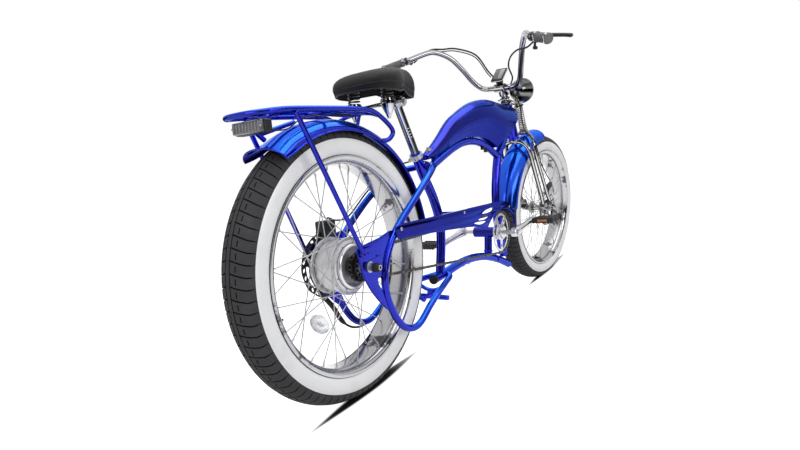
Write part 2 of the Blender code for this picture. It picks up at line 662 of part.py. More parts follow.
CRANK_ANGLE = math.radians(10.5)
ring_r = RING_PITCH_R - 0.0044
windows = []
for i in range(5):
    mid = math.radians(90 + 72 * i)
    arc = circle(BB_X, BB_Z, 0.0680, 3, mid - math.radians(27), mid + math.radians(27))
    arc += circle(BB_X, BB_Z, 0.0360, 2, mid + math.radians(22), mid - math.radians(22))
    windows.append(arc)
spider = plate(circle(BB_X, BB_Z, ring_r, 24), CHAIN_Y - 0.0025, CHAIN_Y + 0.0025, holes=windows)
crank = union(spider, rod((BB_X, -0.0480, BB_Z), (BB_X, -0.0700, BB_Z), 0.0270, sides=14))
crank = union(crank, rod((BB_X, -0.1260, BB_Z), (BB_X, 0.1260, BB_Z), SPINDLE_R, sides=16))
for side in (-1, 1):
    ca = math.cos(CRANK_ANGLE) * -side
    sa = math.sin(CRANK_ANGLE) * -side
    end = Vector((BB_X + CRANK * ca, side * 0.1380, BB_Z + CRANK * sa))
    start = Vector((BB_X, side * 0.1180, BB_Z))
    arm = tube([start, start.lerp(end, 0.5), end], 0.0115, sides=6, scales=[1.3, 1.0, 0.95])
    arm = union(arm, rod(start - Vector((0, side * 0.0110, 0)), start + Vector((0, side * 0.0110, 0)),
                         0.0190, sides=14))
    arm = union(arm, rod(end - Vector((0, side * 0.0085, 0)), end + Vector((0, side * 0.0085, 0)), 0.0140,
                         sides=12))
    arm = union(arm, rod(end, end + Vector((0, side * 0.1000, 0)), 0.0060, sides=12))
    crank = union(crank, arm)
finish(crank, "crankset", SILVER, (BB_X, 0, BB_Z))
for side in (-1, 1):
    word = "left" if side > 0 else "right"
    ca = math.cos(CRANK_ANGLE) * -side
    sa = math.sin(CRANK_ANGLE) * -side
    centre = Vector((BB_X + CRANK * ca, side * 0.1930, BB_Z + CRANK * sa))
    pedal = rod(centre - Vector((0, 0.0430, 0)), centre + Vector((0, 0.0430, 0)), 0.0130, sides=12)
    for x in (-0.0390, 0.0390):
        pedal = union(pedal, box(centre + Vector((x, 0, 0)), (0.0140, 0.0900, 0.0240)))
    for y in (-0.0390, 0.0390):
        pedal = union(pedal, box(centre + Vector((0, y, 0)), (0.0780, 0.0080, 0.0200)))
    pedal = cut(pedal, rod(centre - Vector((0, 0.06, 0)), centre + Vector((0, 0.06, 0)), bore(0.0060, 12),
                           sides=12))
    finish(pedal, "pedal_" + word, PLASTIC, centre)

# Chain guard: a plate outside the loop with a folded top edge
guard_out = [(0.1180, 0.4330), (0.1300, 0.4560), (0.3000, 0.4560), (0.5500, 0.4560), (0.7500, 0.4550),
             (0.8903, 0.4536),
             (0.9309, 0.4397), (0.9715, 0.4091), (0.9883, 0.3656), (0.9863, 0.3487), (0.9740, 0.3560),
             (0.9586, 0.3942),
             (0.9072, 0.4200), (0.8359, 0.4259), (0.7865, 0.4170), (0.7360, 0.3893), (0.7064, 0.3705),
             (0.6600, 0.3780),
             (0.5827, 0.3923), (0.3800, 0.4070), (0.1772, 0.4170), (0.1300, 0.4190)]
slots = [[(0.6680, 0.4270), (0.7300, 0.4260), (0.7660, 0.4350), (0.7560, 0.4420), (0.7000, 0.4380)],
         [(0.6330, 0.4080), (0.6850, 0.4040), (0.7230, 0.4120), (0.7150, 0.4200), (0.6700, 0.4190)],
         [(0.5960, 0.4010), (0.6500, 0.3900), (0.6980, 0.3950), (0.6880, 0.3990), (0.6300, 0.4030)]]
guard = plate(guard_out, -0.1040, -0.1025, holes=slots)
flange = box((0.5350, -0.0930, 0.4545), (0.7000, 0.0200, 0.0015))
guard = union(guard, flange)
guard = cut(guard, rod((0.1752, -0.12, 0.4368), (0.1752, -0.08, 0.4368), 0.0030, sides=10))
guard = union(guard, rod((0.1400, -0.1030, 0.4447), (0.1400, -0.0920, 0.4447), 0.0060, sides=10))
guard = union(guard, rod((0.5270, -0.1030, 0.4480), (0.5270, -0.0060, 0.4480), 0.0050, sides=6))
guard = cut(guard, loop_half(-1, GAP), grown(seat_path, SEAT_TUBE_R))
finish(guard, "chain_guard", BLUE)

# Stand: bracket under the loops and the folding leg
bracket = tube(smooth([(0.4500, -0.0560, 0.2140), (0.4500, -0.0300, 0.1950), (0.4500, 0.0, 0.1880),
                       (0.4500, 0.0300, 0.1950), (0.4500, 0.0560, 0.2140)], 1), 0.0070, sides=8)
bracket = union(bracket, box((0.4500, 0.0, 0.1760), (0.0300, 0.0240, 0.0200)))
STAND = Vector((0.4500, 0.0600, 0.1650))
STAND_AXIS = Vector((0.0753, 0.9063, 0.4160)).normalized()
bracket = union(bracket, rod((0.4500, -0.0600, 0.1650), (0.4500, 0.0360, 0.1650), 0.0090, sides=12))
bracket = union(bracket, rod(STAND - STAND_AXIS * 0.0350, STAND - STAND_AXIS * 0.0100, 0.0100, sides=12))
bracket = union(bracket, rod(STAND - STAND_AXIS * 0.0300, STAND + STAND_AXIS * 0.0110, 0.0050, sides=12))
bracket = cut(bracket, loop_half(-1, GAP), loop_half(1, GAP))
finish(bracket, "stand_bracket", BLUE)
hub = rod(STAND - STAND_AXIS * 0.0090, STAND + STAND_AXIS * 0.0095, 0.0140, sides=16)
hub = cut(hub, rod(STAND - STAND_AXIS * 0.02, STAND + STAND_AXIS * 0.02, bore(0.0050, 12), sides=12))
leg = tube(smooth([STAND + Vector((-0.0100, 0.0030, -0.0030)), STAND + Vector((-0.0500, 0.0120, -0.0120)),
                   STAND + Vector((-0.1500, 0.0240, -0.0300)), STAND + Vector((-0.1850, 0.0300, -0.0320))],
                   1), 0.0080,
           sides=8)
leg = cut(leg, rod(STAND - STAND_AXIS * 0.02, STAND + STAND_AXIS * 0.02, bore(0.0050, 12), sides=12))
finish(union(hub, leg), "kickstand", BLACK, STAND)

# Rear brake caliper with its hose along the left loop
caliper = box((0.0240, 0.0690, 0.4640), (0.0600, 0.0260, 0.0440), bevel=0.0030)
caliper = cut(caliper, rod((0, 0.0615, AXLE_Z), (0, 0.0665, AXLE_Z), 0.0925, sides=28))
caliper = union(caliper, box((0.0240, 0.0826, 0.4350), (0.0500, 0.0082, 0.0440)))
hose = tube(smooth([(0.0300, 0.0700, 0.4720), (0.0450, 0.0780, 0.4900), (0.0900, 0.0860, 0.4780),
                    (0.1500, 0.0880, 0.4840),
                    (0.2500, 0.0900, 0.5480), (0.3400, 0.0780, 0.6010), (0.4100, 0.0560, 0.6270),
                    (0.4700, 0.0400, 0.6340),
                    (0.5300, 0.0270, 0.6280)], 1), 0.0027, sides=6)
finish(union(caliper, hose), "rear_brake_caliper", BLACK)

# Battery tank on the top tube
TANK = [(0.4620, 0.6510, 0.6330, 0.0170), (0.5200, 0.6820, 0.6420, 0.0210),
        (0.5820, 0.7230, 0.6600, 0.0260),
        (0.6230, 0.7540, 0.6750, 0.0290), (0.6640, 0.7800, 0.6880, 0.0330),
        (0.7060, 0.7980, 0.7000, 0.0375),
        (0.7660, 0.8220, 0.7110, 0.0430), (0.8380, 0.8460, 0.7150, 0.0500),
        (0.9120, 0.8610, 0.7095, 0.0545),
        (0.9900, 0.8640, 0.6900, 0.0580), (1.0820, 0.8580, 0.6560, 0.0600),
        (1.1930, 0.8540, 0.6560, 0.0590),
        (1.2600, 0.8490, 0.6560, 0.0520)]
BORDER = 0.42


def tank_body(wall, first, last, floor, name="tank"):
    """Loft through the tank's stations, drawn in by the wall."""
    bm = bmesh.new()
    rows = []
    for i, (x, top, bottom, half) in enumerate(TANK):
        if x < first - 1e-6 or x > last + 1e-6 or (wall > 0 and i % 2 and x < 1.15):
            continue
        w = half - wall
        t = top - wall
        b = bottom + floor
        h = t - b
        pts = [(0.0, t + 0.0010), (0.30 * w, t), (0.42 * w, t - 0.0040), (0.80 * w, t - 0.17 * h),
               (1.0 * w, t - 0.40 * h),
               (0.97 * w, b + BORDER * h), (0.86 * w, b + (BORDER - 0.06) * h), (0.60 * w, b + 0.16 * h),
               (0.40 * w, b)]
        ring = pts + [(-y, z) for y, z in reversed(pts[1:])]
        rows.append([bm.verts.new((x, y, z)) for y, z in ring])
    n = len(rows[0])
    for a, c in zip(rows, rows[1:]):
        for j in range(n):
            bm.faces.new((a[j], a[(j + 1) % n], c[(j + 1) % n], c[j]))
    bm.faces.new(rows[0])
    bm.faces.new(list(reversed(rows[-1])))
    bmesh.ops.recalc_face_normals(bm, faces=bm.faces)
    mesh = bpy.data.meshes.new(name)
    bm.to_mesh(mesh)
    bm.free()
    return link(bpy.data.objects.new(name, mesh))


def nose_cutter(back):
    """Block below the sloping front edge of the tank, moved back into it by a distance."""
    s = back * 0.7
    edge = [(1.0240 - s, 0.6300 + s), (1.0240 - s, 0.6500 + s), (1.0400 - s, 0.6800 + s),
            (1.0900 - s, 0.7220 + s),
            (1.1400 - s, 0.7570 + s), (1.1950 - s, 0.7880 + s), (1.2120 - s, 0.8150 + s),
            (1.2500 - s, 0.8250 + s),
            (1.3000, 0.8250 + s), (1.3000, 0.6000), (1.0240 - s, 0.6000)]
    return plate(edge, -0.1, 0.1)


tank = cut(tank_body(0.0, 0.4, 1.3, 0.0), nose_cutter(0.0),
           rod(along(head_low, -0.02), along(head_top, 0.04), 0.0250, sides=20))
inner = cut(tank_body(0.0030, 0.55, 1.2, -0.0100), nose_cutter(0.0040),
            rod(along(head_low, -0.02), along(head_top, 0.04), 0.0280, sides=20))
tank = cut(tank, inner)
LOCK = Vector((0.4920, 0.0, 0.6680))
LOCK_UP = Vector((-0.4700, 0.0, 0.8830)).normalized()
tank = union(tank, box((0.5350, 0.0, 0.6390), (0.0300, 0.0160, 0.0240)))
tank = cut(tank, grown(top_path, TOP_R, 10))
tank = cut(tank, rod(LOCK - LOCK_UP * 0.0163, LOCK + LOCK_UP * 0.02, bore(0.0070, 24), sides=24))
finish(tank, "battery_tank", BLUE)
lock = rod(LOCK - LOCK_UP * 0.0160, LOCK + LOCK_UP * 0.0030, 0.0070, sides=24)
lock = union(lock, box(LOCK + LOCK_UP * 0.0060, (0.0100, 0.0022, 0.0100),
                       turn=LOCK_UP.to_track_quat("Z", "Y").to_matrix()))
finish(lock, "key_lock", STEEL, LOCK)
pack = union(tank_body(0.0080, 0.6, 1.0, 0.0060), box((0.7900, 0.0, 0.7120), (0.0400, 0.0200, 0.0300)))
finish(cut(pack, grown(top_path, TOP_R, 10)), "battery_pack", CELLS)
controller = union(box((1.0950, 0.0, 0.8030), (0.0900, 0.0560, 0.0400), bevel=0.0030),
                   rod((1.0950, 0.0, 0.8200), (1.0950, 0.0, 0.8551), 0.0060, sides=8))
finish(controller, "motor_controller", SILVER)

# Seat: clamp, post, sprung saddle
PERP = Vector((-seat_dir.z, 0, seat_dir.x)) * -1.0
collar_top = SEAT_TOP + seat_dir * 0.0030
collar = rod(collar_top, collar_top + seat_dir * 0.0160, 0.0220, sides=16)
lug = box(collar_top + seat_dir * 0.0080 + PERP * 0.0240, (0.0140, 0.0180, 0.0140),
          turn=seat_dir.to_track_quat("Z", "Y").to_matrix())
collar = union(collar, lug)
collar = cut(collar, rod(SEAT_TOP - seat_dir * 0.02, SEAT_TOP + seat_dir * 0.04, SEAT_TUBE_R + GAP,
                         sides=12))
bolt_at = collar_top + seat_dir * 0.0080 + PERP * 0.0260
collar = union(collar, rod(bolt_at - Vector((0, 0.0150, 0)), bolt_at + Vector((0, 0.0150, 0)), 0.0040,
                           sides=8))
finish(collar, "seat_clamp", STEEL)
POST_TOP = SEAT_TOP - seat_dir * 0.1740
post = rod(SEAT_TOP + seat_dir * 0.0680, POST_TOP, POST_R, sides=16)
finish(post, "seat_post", CHROME, SEAT_TOP)
frame = union(rod(POST_TOP + seat_dir * 0.0100, POST_TOP - seat_dir * 0.0060, 0.0180, sides=12),
              rod(POST_TOP + Vector((0.0, -0.0280, 0.0020)), POST_TOP + Vector((0.0, 0.0280, 0.0020)),
                  0.0140, sides=12))
frame = cut(frame, rod(POST_TOP + seat_dir * 0.02, POST_TOP - seat_dir * 0.0003, POST_R + 2 * GAP,
                       sides=16))
for side in (-1, 1):
    rail = tube(smooth([(0.3900, side * 0.0060, 0.8500), (0.3700, side * 0.0160, 0.8360),
                        (0.3250, side * 0.0230, 0.8180),
                        (0.2700, side * 0.0300, 0.8080), (0.2150, side * 0.0500, 0.7960),
                        (0.1900, side * 0.0600, 0.7930)], 1),
                0.0036, sides=6)
    cup = turned([(0.0, 0.7560), (0.0060, 0.7560), (0.0080, 0.7620), (0.0225, 0.7900), (0.0225, 0.7960),
                  (0.0, 0.7960)],
                 (0.1900, side * 0.0600, 0.0), (0, 0, 1), steps=10)
    frame = union(frame, union(rail, cup))
bridge = tube([(0.3900, -0.0060, 0.8500), (0.3920, 0.0, 0.8515), (0.3900, 0.0060, 0.8500)], 0.0036, sides=6)
frame = union(frame, bridge)
frame = union(frame, tube([(0.1900, -0.0600, 0.7900), (0.1900, 0.0600, 0.7900)], 0.0040, sides=6))
finish(frame, "saddle_frame", CHROME)

OUTLINE = [(0.4260, 0.0), (0.4150, 0.0290), (0.3650, 0.0400), (0.3050, 0.0560), (0.2550, 0.0860),
           (0.2100, 0.1080), (0.1700, 0.1110),
           (0.1300, 0.0940), (0.1060, 0.0580), (0.0960, 0.0)]
TOPS = [(0.0960, 0.8450), (0.1060, 0.8560), (0.1300, 0.8680), (0.1700, 0.8800), (0.2200, 0.8930),
        (0.2900, 0.9070),
        (0.3600, 0.9180), (0.4150, 0.9180), (0.4260, 0.9110)]
SKIRT = [(0.0960, 0.8140), (0.1300, 0.8130), (0.1700, 0.8150), (0.2100, 0.8230), (0.2550, 0.8380),
         (0.3050, 0.8450),
         (0.3650, 0.8400), (0.4150, 0.8430), (0.4260, 0.8520)]


def at(table, x):
    """Height read from a table of (x, z) by straight lines."""
    for (x0, z0), (x1, z1) in zip(table, table[1:]):
        if x <= x1:
            return z0 + (z1 - z0) * max(0.0, min(1.0, (x - x0) / (x1 - x0)))
    return table[-1][1]


def saddle():
    """Padded seat: a coarse cage of rings, smoothed by subdivision, hollow below."""
    bm = bmesh.new()
    ring = OUTLINE + [(x, -y) for x, y in reversed(OUTLINE[1:-1])]
    levels = [(0.80, "pan"), (0.91, "pan"), (0.94, "low"), (1.0, "edge"), (1.02, "mid"), (0.93, "high"),
              (0.66, "top"), (0.33, "crown")]
    rows = []
    for scale, kind in levels:
        row = []
        for x, y in ring:
            cx = 0.2100 + (x - 0.2100) * (scale if scale < 1 else 1.0)
            cy = y * scale
            low = at(SKIRT, cx)
            top = at(TOPS, cx)
            z = {"pan": 0.8500 + 0.14 * max(0.0, cx - 0.22), "low": low, "edge": low - 0.0010,
                 "mid": low * 0.55 + top * 0.45,
                 "high": top - 0.0150, "top": top - 0.0020, "crown": top + 0.0010}[kind]
            if kind == "pan":
                z = max(z, low + 0.0080)
            row.append(bm.verts.new((cx, cy, z)))
        rows.append(row)
    n = len(ring)
    for a, c in zip(rows, rows[1:]):
        for j in range(n):
            bm.faces.new((a[j], a[(j + 1) % n], c[(j + 1) % n], c[j]))
    for row in (rows[0], rows[-1]):
        for j in range(n // 2):
            strip = [row[j], row[j + 1], row[(n - j - 1) % n], row[(n - j) % n]]
            bm.faces.new(list(dict.fromkeys(strip)))
    bmesh.ops.recalc_face_normals(bm, faces=bm.faces)
    mesh = bpy.data.meshes.new("saddle")
    bm.to_mesh(mesh)
    bm.free()
    ob = link(bpy.data.objects.new("saddle", mesh))
    sub = ob.modifiers.new("round", "SUBSURF")
    sub.levels = 1
    sub.render_levels = 1
    return baked(ob)


finish(saddle(), "saddle", VINYL, (0.2100, 0.0, 0.8440), angle=60.0)


def coil(base, direction, radius, wire, length, turns, per_turn=9):
    """A coil spring between two seats; the wire stays inside the given length."""
    d = Vector(direction).normalized()
    u = d.orthogonal().normalized()
    v = d.cross(u)
    count = int(turns * per_turn)
    pts = []
    for i in range(count + 1):
        a = 2 * math.pi * i / per_turn
        t = wire + (length - 2 * wire) * i / count
        pts.append(Vector(base) + d * t + u * (radius * math.cos(a)) + v * (radius * math.sin(a)))
    least = min((p - q).length for i, p in enumerate(pts) for q in pts[i + per_turn - 1:i + per_turn + 2])
    print("least coil gap mm", round((least - 2 * wire) * 1000, 2))
    return tube(pts, wire, sides=6)


for side in (-1, 1):
    word = "left" if side > 0 else "right"
    ob = coil((0.1900, side * 0.0600, 0.7963), (0, 0, 1), 0.0165, 0.0022, 0.0532, 4.0, 8)
    finish(ob, "saddle_spring_" + word, BLACK, (0.1900, side * 0.0600, 0.7963))

# Sprung fork: main legs, crown, steerer and the plate over the spring
LEG_Y = 0.0745
PIVOT = Vector((1.4520, 0.0, 0.3880))
LINK = Vector((1.5320, 0.0, 0.3950))
YOKE = Vector((1.3870, 0.0, 0.7420))
crown_point = steer_point(0.7000)
half_fork = [(1.4490, -LEG_Y, 0.3970), (1.4250, -LEG_Y, 0.4400), (1.3650, -LEG_Y, 0.5350),
             (1.3100, -LEG_Y, 0.6250),
             (1.2960, -0.0720, 0.6560), (1.2900, -0.0600, 0.6780), (1.2890, -0.0360, 0.6940),
             (1.2893, 0.0, 0.7000)]
path = half_fork + [(x, -y, z) for x, y, z in reversed(half_fork[:-1])]
fork = tube(path, 0.0100, sides=8)
fork = union(fork, rod(along(crown_point, -0.0050), steer_point(0.9190), STEERER_R, sides=16))
guard_dir = (crown_point - FRONT).normalized()
ob = fender(FRONT, 99.0, 175.0, "front_fender", 0.0310)
ob = union(ob, rod(FRONT + guard_dir * 0.3955, crown_point, 0.0070, sides=8))
ob = cut(ob, tube(path, 0.0100 + GAP, sides=8),
         rod(along(crown_point, -0.0053), steer_point(0.75), STEERER_R + GAP, sides=16))
finish(ob, "front_fender", BLUE, FRONT, steering)
for side in (-1, 1):
    eye = rod(PIVOT + Vector((0, side * 0.0652, 0)), PIVOT + Vector((0, side * 0.0850, 0)), 0.0125,
              sides=12)
    fork = union(fork, eye)
    fork = cut(fork, rod(PIVOT + Vector((0, side * 0.06, 0)), PIVOT + Vector((0, side * 0.09, 0)),
                         bore(0.0050, 12), sides=12))
top_plate_rear = Vector((1.1800, 0.0, 0.8800))
top_plate_front = Vector((1.3450, 0.0, 0.8690))
SEAT_LOW = YOKE + steer_axis * 0.0125
SEAT_HIGH = YOKE + steer_axis * 0.1330
tilt = (top_plate_front - top_plate_rear).normalized()
side_dir = Vector((0, 1, 0))
normal = tilt.cross(side_dir)
bm = bmesh.new()
corners = []
for lift in (-0.0030, 0.0030):
    row = []
    for p, w in ((top_plate_rear, -0.0260), (top_plate_front, -0.0150), (top_plate_front, 0.0150),
                 (top_plate_rear, 0.0260)):
        row.append(bm.verts.new(p + side_dir * w + normal * lift))
    corners.append(row)
bm.faces.new(corners[0])
bm.faces.new(list(reversed(corners[1])))
for j in range(4):
    bm.faces.new((corners[0][j], corners[0][(j + 1) % 4], corners[1][(j + 1) % 4], corners[1][j]))
bmesh.ops.recalc_face_normals(bm, faces=bm.faces)
mesh = bpy.data.meshes.new("plate")
bm.to_mesh(mesh)
bm.free()
top_plate = link(bpy.data.objects.new("plate", mesh))
top_plate = union(top_plate, rod(SEAT_HIGH, SEAT_HIGH + steer_axis * 0.0250, 0.0090, sides=8))
top_plate = union(top_plate, rod(SEAT_HIGH, SEAT_HIGH + steer_axis * 0.0040, 0.0215, sides=16))
fork = union(fork, top_plate)
finish(fork, "springer_fork", CHROME, (STEM_X, 0, STEM_Z), steering)

half_legs = [(1.5290, -LEG_Y, 0.4020), (1.5000, -LEG_Y, 0.4330), (1.4450, -LEG_Y, 0.5120),
             (1.3860, -LEG_Y, 0.5960),
             (1.3560, -LEG_Y, 0.6450), (1.3480, -0.0700, 0.6850), (1.3560, -0.0560, 0.7120),
             (1.3740, -0.0280, 0.7350),
             (1.3870, 0.0, 0.7420)]
path = half_legs + [(x, -y, z) for x, y, z in reversed(half_legs[:-1])]
legs = tube(path, 0.0088, sides=8)
for side in (-1, 1):
    eye = rod(LINK + Vector((0, side * 0.0652, 0)), LINK + Vector((0, side * 0.0850, 0)), 0.0115, sides=12)
    legs = union(legs, eye)
    legs = cut(legs, rod(LINK + Vector((0, side * 0.06, 0)), LINK + Vector((0, side * 0.09, 0)), 0.0068,
                         sides=12))
legs = union(legs, rod(YOKE, SEAT_LOW, 0.0200, sides=16))
finish(legs, "fork_front_legs", CHROME, YOKE, steering)
spring = coil(SEAT_LOW + steer_axis * 0.0006, steer_axis, 0.0160, 0.0026,
              (SEAT_HIGH - SEAT_LOW).length - 0.0022, 8.0, 8)
finish(spring, "fork_spring", CHROME, SEAT_HIGH, steering)

# Rocker links joined by the front axle
rockers = rod(FRONT + Vector((0, -0.0900, 0)), FRONT + Vector((0, 0.0900, 0)), AXLE_R, sides=16)
for side in (-1, 1):
    y0, y1 = sorted((side * 0.0590, side * 0.0640))
    hull = []
    for cx, cz, r, a0, a1 in ((PIVOT.x, PIVOT.z, 0.0130, 80, 265), (FRONT.x, FRONT.z, 0.0150, 255, 405),
                              (LINK.x, LINK.z, 0.0120, 50, 100)):
        hull += circle(cx, cz, r, 4, math.radians(a0), math.radians(a1))
    link_plate = plate(hull, y0, y1)
    for centre, reach, r in ((PIVOT, 0.0880, 0.0050), (LINK, 0.0880, 0.0050)):
        link_plate = union(link_plate, rod(centre + Vector((0, side * 0.0600, 0)),
                                           centre + Vector((0, side * reach, 0)), r, sides=12))
    nut = rod(FRONT + Vector((0, side * 0.0620, 0)), FRONT + Vector((0, side * 0.0740, 0)), 0.0120, sides=6)
    rockers = union(rockers, union(link_plate, nut))
tab = plate([(1.5450, 0.3750), (1.5900, 0.4100), (1.6100, 0.4450), (1.5850, 0.4700), (1.5500, 0.4500),
             (1.5350, 0.4000)],
            -0.0640, -0.0590)
rockers = union(rockers, tab)
finish(rockers, "rocker_link", STEEL, PIVOT, steering)
caliper = box((1.5800, -0.0490, 0.4600), (0.0560, 0.0190, 0.0560), bevel=0.0030,
              turn=Matrix.Rotation(math.radians(-20), 3, "Y"))
caliper = cut(caliper, rod(FRONT + Vector((0, -0.0550, 0)), FRONT + Vector((0, -0.0500, 0)), 0.0925,
                           sides=28))
finish(caliper, "front_brake_caliper", BLACK, PIVOT, steering)

# Stem, handlebar, grips and controls
BAR_AT = Vector((1.1520, 0.0, 0.9300))
GRIP_IN = Vector((0.8620, 0.2810, 1.0520))
GRIP_END = Vector((0.8050, 0.3700, 1.0210))
GRIP_DIR = (GRIP_END - GRIP_IN).normalized()


def sided(v, side):
    return Vector((v[0], v[1] * side, v[2]))


stem = rod(steer_point(0.9020), steer_point(0.9235), 0.0210, sides=16)
stem = union(stem, rod(steer_point(0.9225), along(BAR_AT, -0.004) + AHEAD * 0.008, 0.0150, sides=12))
stem = union(stem, rod(BAR_AT + Vector((0, -0.0250, 0)), BAR_AT + Vector((0, 0.0250, 0)), 0.0180, sides=16))
stem = cut(stem, rod(steer_point(0.8800), steer_point(0.9195), bore(STEERER_R, 16) + 0.0002, sides=16))
stem = cut(stem, rod(BAR_AT + Vector((0, -0.05, 0)), BAR_AT + Vector((0, 0.05, 0)), BAR_R + 2 * GAP,
                     sides=12))
finish(stem, "stem", CHROME, (STEM_X, 0, STEM_Z), steering)

half_bar = [GRIP_END, GRIP_IN + GRIP_DIR * 0.0300, GRIP_IN + GRIP_DIR * 0.0060, GRIP_IN - GRIP_DIR * 0.0100,
            (0.9300, 0.2280, 1.0820), (0.9670, 0.2040, 1.0840), (1.0200, 0.1700, 1.0620),
            (1.0700, 0.1410, 1.0160),
            (1.1150, 0.1150, 0.9660), (1.1450, 0.0900, 0.9390), (1.1530, 0.0620, 0.9310),
            (1.1520, 0.0420, 0.9300),
            (1.1520, 0.0300, 0.9300), (1.1520, 0.0, 0.9300)]
path = [sided(p, -1) for p in half_bar] + [sided(p, 1) for p in reversed(half_bar[:-1])]
bar = tube(path, BAR_R, sides=8)
for side in (-1, 1):
    d = sided(GRIP_DIR, side)
    at_bar = sided(GRIP_IN, side) + d * 0.0080
    pivot = Vector((0.9050, side * 0.3000, 1.0560))
    up_dir = d.cross(pivot - at_bar).normalized()
    if up_dir.z < 0:
        up_dir = -up_dir
    clamp = rod(at_bar - d * 0.0070, at_bar + d * 0.0070, 0.0160, sides=10)
    clamp = union(clamp, rod(at_bar, pivot - up_dir * 0.0085, 0.0058, sides=6))
    clamp = union(clamp, rod(pivot - up_dir * 0.0100, pivot - up_dir * 0.0003, 0.0100, sides=8))
    clamp = union(clamp, rod(pivot - up_dir * 0.0050, pivot + up_dir * 0.0075, 0.0030, sides=10))
    bar = union(bar, clamp)
    word = "left" if side > 0 else "right"
    tip = Vector((0.9050, side * 0.4150, 1.0380))
    blade = tube([pivot + up_dir * 0.0032, pivot.lerp(tip, 0.3) + up_dir * 0.0032,
                  pivot.lerp(tip, 0.75) + up_dir * 0.0020, tip],
                 0.0055, sides=6, scales=[0.55, 1.0, 1.0, 0.9])
    lever = union(rod(pivot, pivot + up_dir * 0.0064, 0.0090, sides=10), blade)
    lever = cut(lever, rod(pivot - up_dir * 0.02, pivot + up_dir * 0.02, bore(0.0030, 10), sides=10),
                rod(pivot - up_dir * 0.0250, pivot, 0.0125, sides=10))
    finish(lever, "brake_lever_" + word, BLACK, pivot, steering)
    end = sided(GRIP_END, side)
    start = sided(GRIP_IN, side) + d * (0.0340 if side < 0 else 0.0180)
    grip = rod(start, end + d * 0.0050, 0.0165, sides=16)
    grip = cut(grip, rod(start - d * 0.02, end + d * 0.0003, BAR_R + GAP, sides=16))
    finish(grip, "grip_" + word, RUBBER, end, steering)
finish(bar, "handlebar", CHROME, (STEM_X, 0, STEM_Z), steering)

d = sided(GRIP_DIR, -1)
THROTTLE = sided(GRIP_IN, -1) + d * 0.0245
throttle = rod(THROTTLE - d * 0.0070, THROTTLE + d * 0.0070, 0.0165, sides=12)
throttle = union(throttle, rod(THROTTLE, THROTTLE + Vector((0.0020, 0.0, -0.0360)), 0.0045, sides=6))
throttle = union(throttle, rod(THROTTLE + Vector((-0.0080, 0.0, -0.0360)),
                               THROTTLE + Vector((0.0120, 0.0, -0.0360)), 0.0060, sides=6))
throttle = cut(throttle, rod(THROTTLE - d * 0.02, THROTTLE + d * 0.02, bore(BAR_R, 12) + 0.0003, sides=12))
finish(throttle, "thumb_throttle", PLASTIC, THROTTLE, steering)

screen_turn = Matrix.Rotation(math.radians(-46), 3, "Y")
display = box((1.1450, 0.0, 0.9830), (0.0780, 0.0540, 0.0140), bevel=0.0030, turn=screen_turn)
display = union(display, box((1.1480, 0.0, 0.9600), (0.0180, 0.0300, 0.0440)))
display = cut(display, rod(BAR_AT + Vector((0, -0.05, 0)), BAR_AT + Vector((0, 0.05, 0)), 0.0184, sides=20),
              rod(steer_point(0.9225), along(BAR_AT, -0.004) + AHEAD * 0.008, 0.0158, sides=12))
finish(display, "display", PLASTIC, (STEM_X, 0, STEM_Z), steering)

lamp = [(0.0, -0.0560), (0.0230, -0.0510), (0.0420, -0.0330), (0.0520, -0.0050), (0.0560, 0.0110),
        (0.0560, 0.0200), (0.0450, 0.0250), (0.0, 0.0280)]
LAMP_AT = Vector((1.3500, 0.0, 0.9340))
head = turned(list(lamp), LAMP_AT, (1, 0, 0.05), steps=20)
head = union(head, rod(SEAT_HIGH + steer_axis * 0.0254, SEAT_HIGH + steer_axis * 0.0480, 0.0085, sides=10))
finish(head, "headlight", CHROME, LAMP_AT, steering)

left_cable = tube(smooth([(0.9020, 0.2800, 1.0480), (0.9400, 0.2450, 1.0950), (0.9800, 0.2100, 1.1120),
                          (1.0500, 0.1500, 1.1080),
                          (1.1000, 0.0900, 1.0750), (1.1500, 0.0550, 1.0050), (1.1900, 0.0200, 0.9560),
                          (1.2074, 0.0, 0.9347)], 1), 0.0027, sides=6)
right_cable = tube([(0.9020, -0.2800, 1.0480), (0.9450, -0.2250, 1.0350), (0.9850, -0.1650, 1.0400),
                    (1.0450, -0.1050, 1.0300), (1.1050, -0.0660, 1.0050), (1.1750, -0.0480, 0.9700),
                    (1.2080, -0.0180, 0.9440),
                    (1.2074, 0.0, 0.9347)], 0.0027, sides=6)
hose = tube(smooth([(1.2074, 0.0, 0.9347), (1.2350, -0.0280, 0.9050), (1.2550, -0.0450, 0.8500),
                    (1.2620, -0.0520, 0.7900),
                    (1.2700, -0.0620, 0.7450), (1.2900, -0.0780, 0.7200), (1.3180, -0.0885, 0.6950),
                    (1.3520, -0.0890, 0.6480),
                    (1.3970, -0.0890, 0.5850), (1.4520, -0.0880, 0.5400), (1.5100, -0.0800, 0.5080),
                    (1.5450, -0.0680, 0.4970)], 1), 0.0027, sides=6)
cables = union(left_cable, union(right_cable,
                                 rod((1.1974, 0.0, 0.9417), (1.2184, 0.0, 0.9267), 0.0060, sides=6)))
cables = union(cables, hose)
finish(cables, "control_cables", RUBBER, (STEM_X, 0, STEM_Z), steering)

bpy.context.view_layer.update()
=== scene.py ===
"""Finished looks of a stretch cruiser with a hub motor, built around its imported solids.

Metres, +Z up, forward is +X, the chain side is -Y. Points are given from the rear axle's
foot on the middle plane, with the fork straight ahead. show() moves them into the frame.
"""

from math import acos, atan2, cos, hypot, pi, radians, sin, tan

import bmesh
import bpy
import numpy as np
from mathutils import Matrix, Vector


